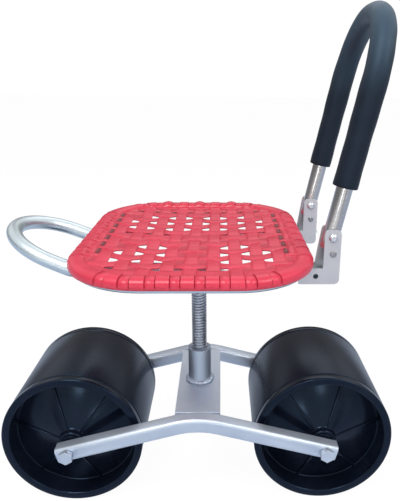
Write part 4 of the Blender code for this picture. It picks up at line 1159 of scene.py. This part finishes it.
def foam_sleeve():
    """Foam tube slipped over the arch: slightly uneven, with rounded cut ends."""
    outside = FOAM_RADIUS - FOAM_SWELL
    piece = arched_skin("foam_grip", FOAM_START, outside, 48)
    for corner in piece.data.vertices:
        along = corner.co.z + 0.6 * corner.co.y
        swell = 0.00025 * math.sin(61 * along + 1.3) + 0.00015 * math.sin(173 * along)
        on_leg = corner.co.z < BACK_STRAIGHT
        spoke_y = corner.co.y - math.copysign(LEG_Y, corner.co.y) if on_leg else 0.0
        spoke = Vector((corner.co.x, spoke_y, 0.0))
        if spoke.length > 0:
            corner.co += spoke.normalized() * swell
    wall = outside - HOOP_RADIUS - TOUCH_GAP
    modify(piece, "SOLIDIFY", thickness=wall, offset=-1.0, use_even_offset=True)
    piece.data.transform(LEAN)
    round_edges(piece, FOAM_EDGE, 3, 60)
    dress(smooth(piece), SLEEVE_FOAM, "foam_black", "backrest", "foam_sleeve")


foam_sleeve()


# Plates, brackets and hardware, with softened edges
def dressed_nodes():
    """Dress the remaining nodes by the first word found in their names."""
    looks = [
        ("_plate", FRAME_PAINT, "silver_paint", 0.0006),
        ("_bracket", BRACKET_PAINT, "silver_paint", 0.0005),
        ("_axle_sleeve", CAP_PLASTIC, "roller_black", 0.0004),
        ("_axle_", FRAME_PAINT, "silver_paint", 0.0004),
        ("stop_washer", ZINC_PLATE, "zinc", 0.0004),
        ("_washer", CAP_PLASTIC, "roller_black", 0.0004),
        ("_stop_pin", DARK_PLATE, "zinc", 0.0004),
        ("stop_bolt", ZINC_PLATE, "zinc", 0.0004),
        ("seat_screw", ZINC_PLATE, "zinc", 0.0004),
        ("seat_spacer", ZINC_PLATE, "zinc", 0.0004),
        ("_pivot_", ZINC_PLATE, "zinc", 0.0004),
    ]
    for body, nodes in sorted(frame["record"]["behaviour"]["bodies"].items()):
        for node in sorted(nodes):
            for word, finish, slot, edge in looks:
                if word in node:
                    dress(tidy_copy(node, edge), finish, slot, body, node)
                    break


dressed_nodes()


# Floor, light and camera
def floor_finish():
    """Pale floor: white to the camera with a soft shadow; to reflections it glows as a painted reflection,
    cooler near the object, bright far off and crossed by a dark band.
    """
    finish = Finish("pale_floor", Roughness=1.0, Specular_IOR_Level=0.0, Emission_Strength=1.0)
    camera = finish.node("ShaderNodeLightPath", output="Is Camera Ray")
    mirror = finish.node("ShaderNodeLightPath", output="Is Glossy Ray")
    across = finish.node("ShaderNodeSeparateXYZ", output=0, Vector=finish.place)
    along = finish.node("ShaderNodeSeparateXYZ", output=1, Vector=finish.place)
    beyond = along.within(-0.7, -2.0)
    dark_band = across.within(0.60, 0.75) * across.within(1.10, 0.95) * beyond
    near_tone, far_tone, band_tone = (0.56, 0.64, 0.80), (1.15, 1.15, 1.15), (0.10, 0.10, 0.11)
    pale_grey, seen_white, black = (0.92, 0.92, 0.92), (0.963, 0.963, 0.963), (0.0, 0.0, 0.0)
    reflected = finish.mix(dark_band, finish.mix(beyond, near_tone, far_tone), band_tone)
    finish.set(Base_Color=finish.mix(0.93 * (camera + mirror), pale_grey, black))
    glow = finish.mix(mirror, black, reflected)
    finish.set(Emission_Color=finish.mix(camera, glow, seen_white))
    return finish.material


def studio_floor():
    deselect()
    bpy.ops.mesh.primitive_plane_add(size=30.0, location=(0.0, 0.0, 0.0))
    ground = bpy.context.object
    ground.name = "studio_floor"
    ground.data.materials.append(floor_finish())


def studio_world():
    """White to the camera, even on the object, and in reflections brighter above, in front and aside."""
    world = bpy.data.worlds.new("studio")
    bpy.context.scene.world = world
    world.use_nodes = True
    tree = world.node_tree
    background = tree.nodes["Background"]
    background.inputs["Color"].default_value = (1.0, 1.0, 1.0, 1.0)
    light_path = tree.nodes.new("ShaderNodeLightPath")
    direction = tree.nodes.new("ShaderNodeSeparateXYZ")
    tree.links.new(tree.nodes.new("ShaderNodeTexCoord").outputs["Generated"], direction.inputs[0])
    skyward = Signal(tree, direction.outputs["Z"])
    above = skyward.within(0.18, 0.75)
    along = Signal(tree, direction.outputs["Y"])
    ahead = along.within(-0.62, -0.98)
    behind = along.within(0.30, 0.80)
    sideways = Signal(tree, direction.outputs["X"])
    aside = (sideways.within(0.30, 0.55) + sideways.within(-0.30, -0.55)) * skyward.within(0.12, 0.32)
    dimmest = 0.22
    reflected = dimmest + (1.0 - dimmest) * (above + ahead + aside - 0.22 * behind).within(0.0, 1.0)
    seen = Signal(tree, light_path.outputs["Is Camera Ray"])
    mirrored = Signal(tree, light_path.outputs["Is Glossy Ray"])
    ambient = 0.34
    strength = ambient + (1.0 - ambient) * seen + (reflected - ambient) * mirrored
    connect(tree, background.inputs["Strength"], strength)


def studio_lamps():
    """Soft square lamps, all aimed at the middle of the object."""
    aim = Vector((0.0, 0.0, 0.25))
    for name, place, size, power in (
        ("key", (-0.6, -1.2, 2.3), 1.0, 41.0),
        ("fill", (1.4, -0.9, 1.7), 1.0, 16.0),
        ("back", (0.3, 1.6, 1.9), 1.4, 6.0),
        ("left_glint", (-0.488, -2.03, 0.30), 0.18, 1.1),
        ("right_glint", (0.452, -2.03, 0.30), 0.18, 1.1),
    ):
        light = bpy.data.lights.new(name, "AREA")
        light.energy = power
        light.size = size
        lamp = bpy.data.objects.new(name, light)
        bpy.context.scene.collection.objects.link(lamp)
        lamp.location = place
        lamp.rotation_euler = (aim - Vector(place)).to_track_quat("-Z", "Y").to_euler()


def photo_camera():
    """Camera at the photograph's place, fitted to the rollers, frame, seat and tubes."""
    place = (0.028541, -0.680876, 0.540308)
    yaw, pitch, roll = 0.027, 0.301, 0.009
    ahead = Vector((math.sin(yaw) * math.cos(pitch), math.cos(yaw) * math.cos(pitch), -math.sin(pitch)))
    level = Vector((math.cos(yaw), -math.sin(yaw), 0.0))
    above = level.cross(ahead)
    right = level * math.cos(roll) + above * math.sin(roll)
    up = right.cross(ahead)
    lens = bpy.data.cameras.new("photo_camera")
    camera = bpy.data.objects.new("photo_camera", lens)
    bpy.context.scene.collection.objects.link(camera)
    turn = Matrix((right, up, -ahead)).transposed().to_4x4()
    camera.matrix_world = Matrix.Translation(place) @ turn
    frame_width, frame_height = 400, 501
    focal_pixels = 549.42
    middle_x, middle_y = 234.65, 246.89
    lens.sensor_width = 36.0
    lens.lens = 36.0 * focal_pixels / frame_height
    lens.shift_x = (frame_width / 2 - middle_x) / frame_height
    lens.shift_y = (middle_y - frame_height / 2) / frame_height
    lens.clip_start = 0.01
    bpy.context.scene.camera = camera


studio_floor()
studio_world()
studio_lamps()
photo_camera()
bpy.context.scene.view_settings.view_transform = "Standard"
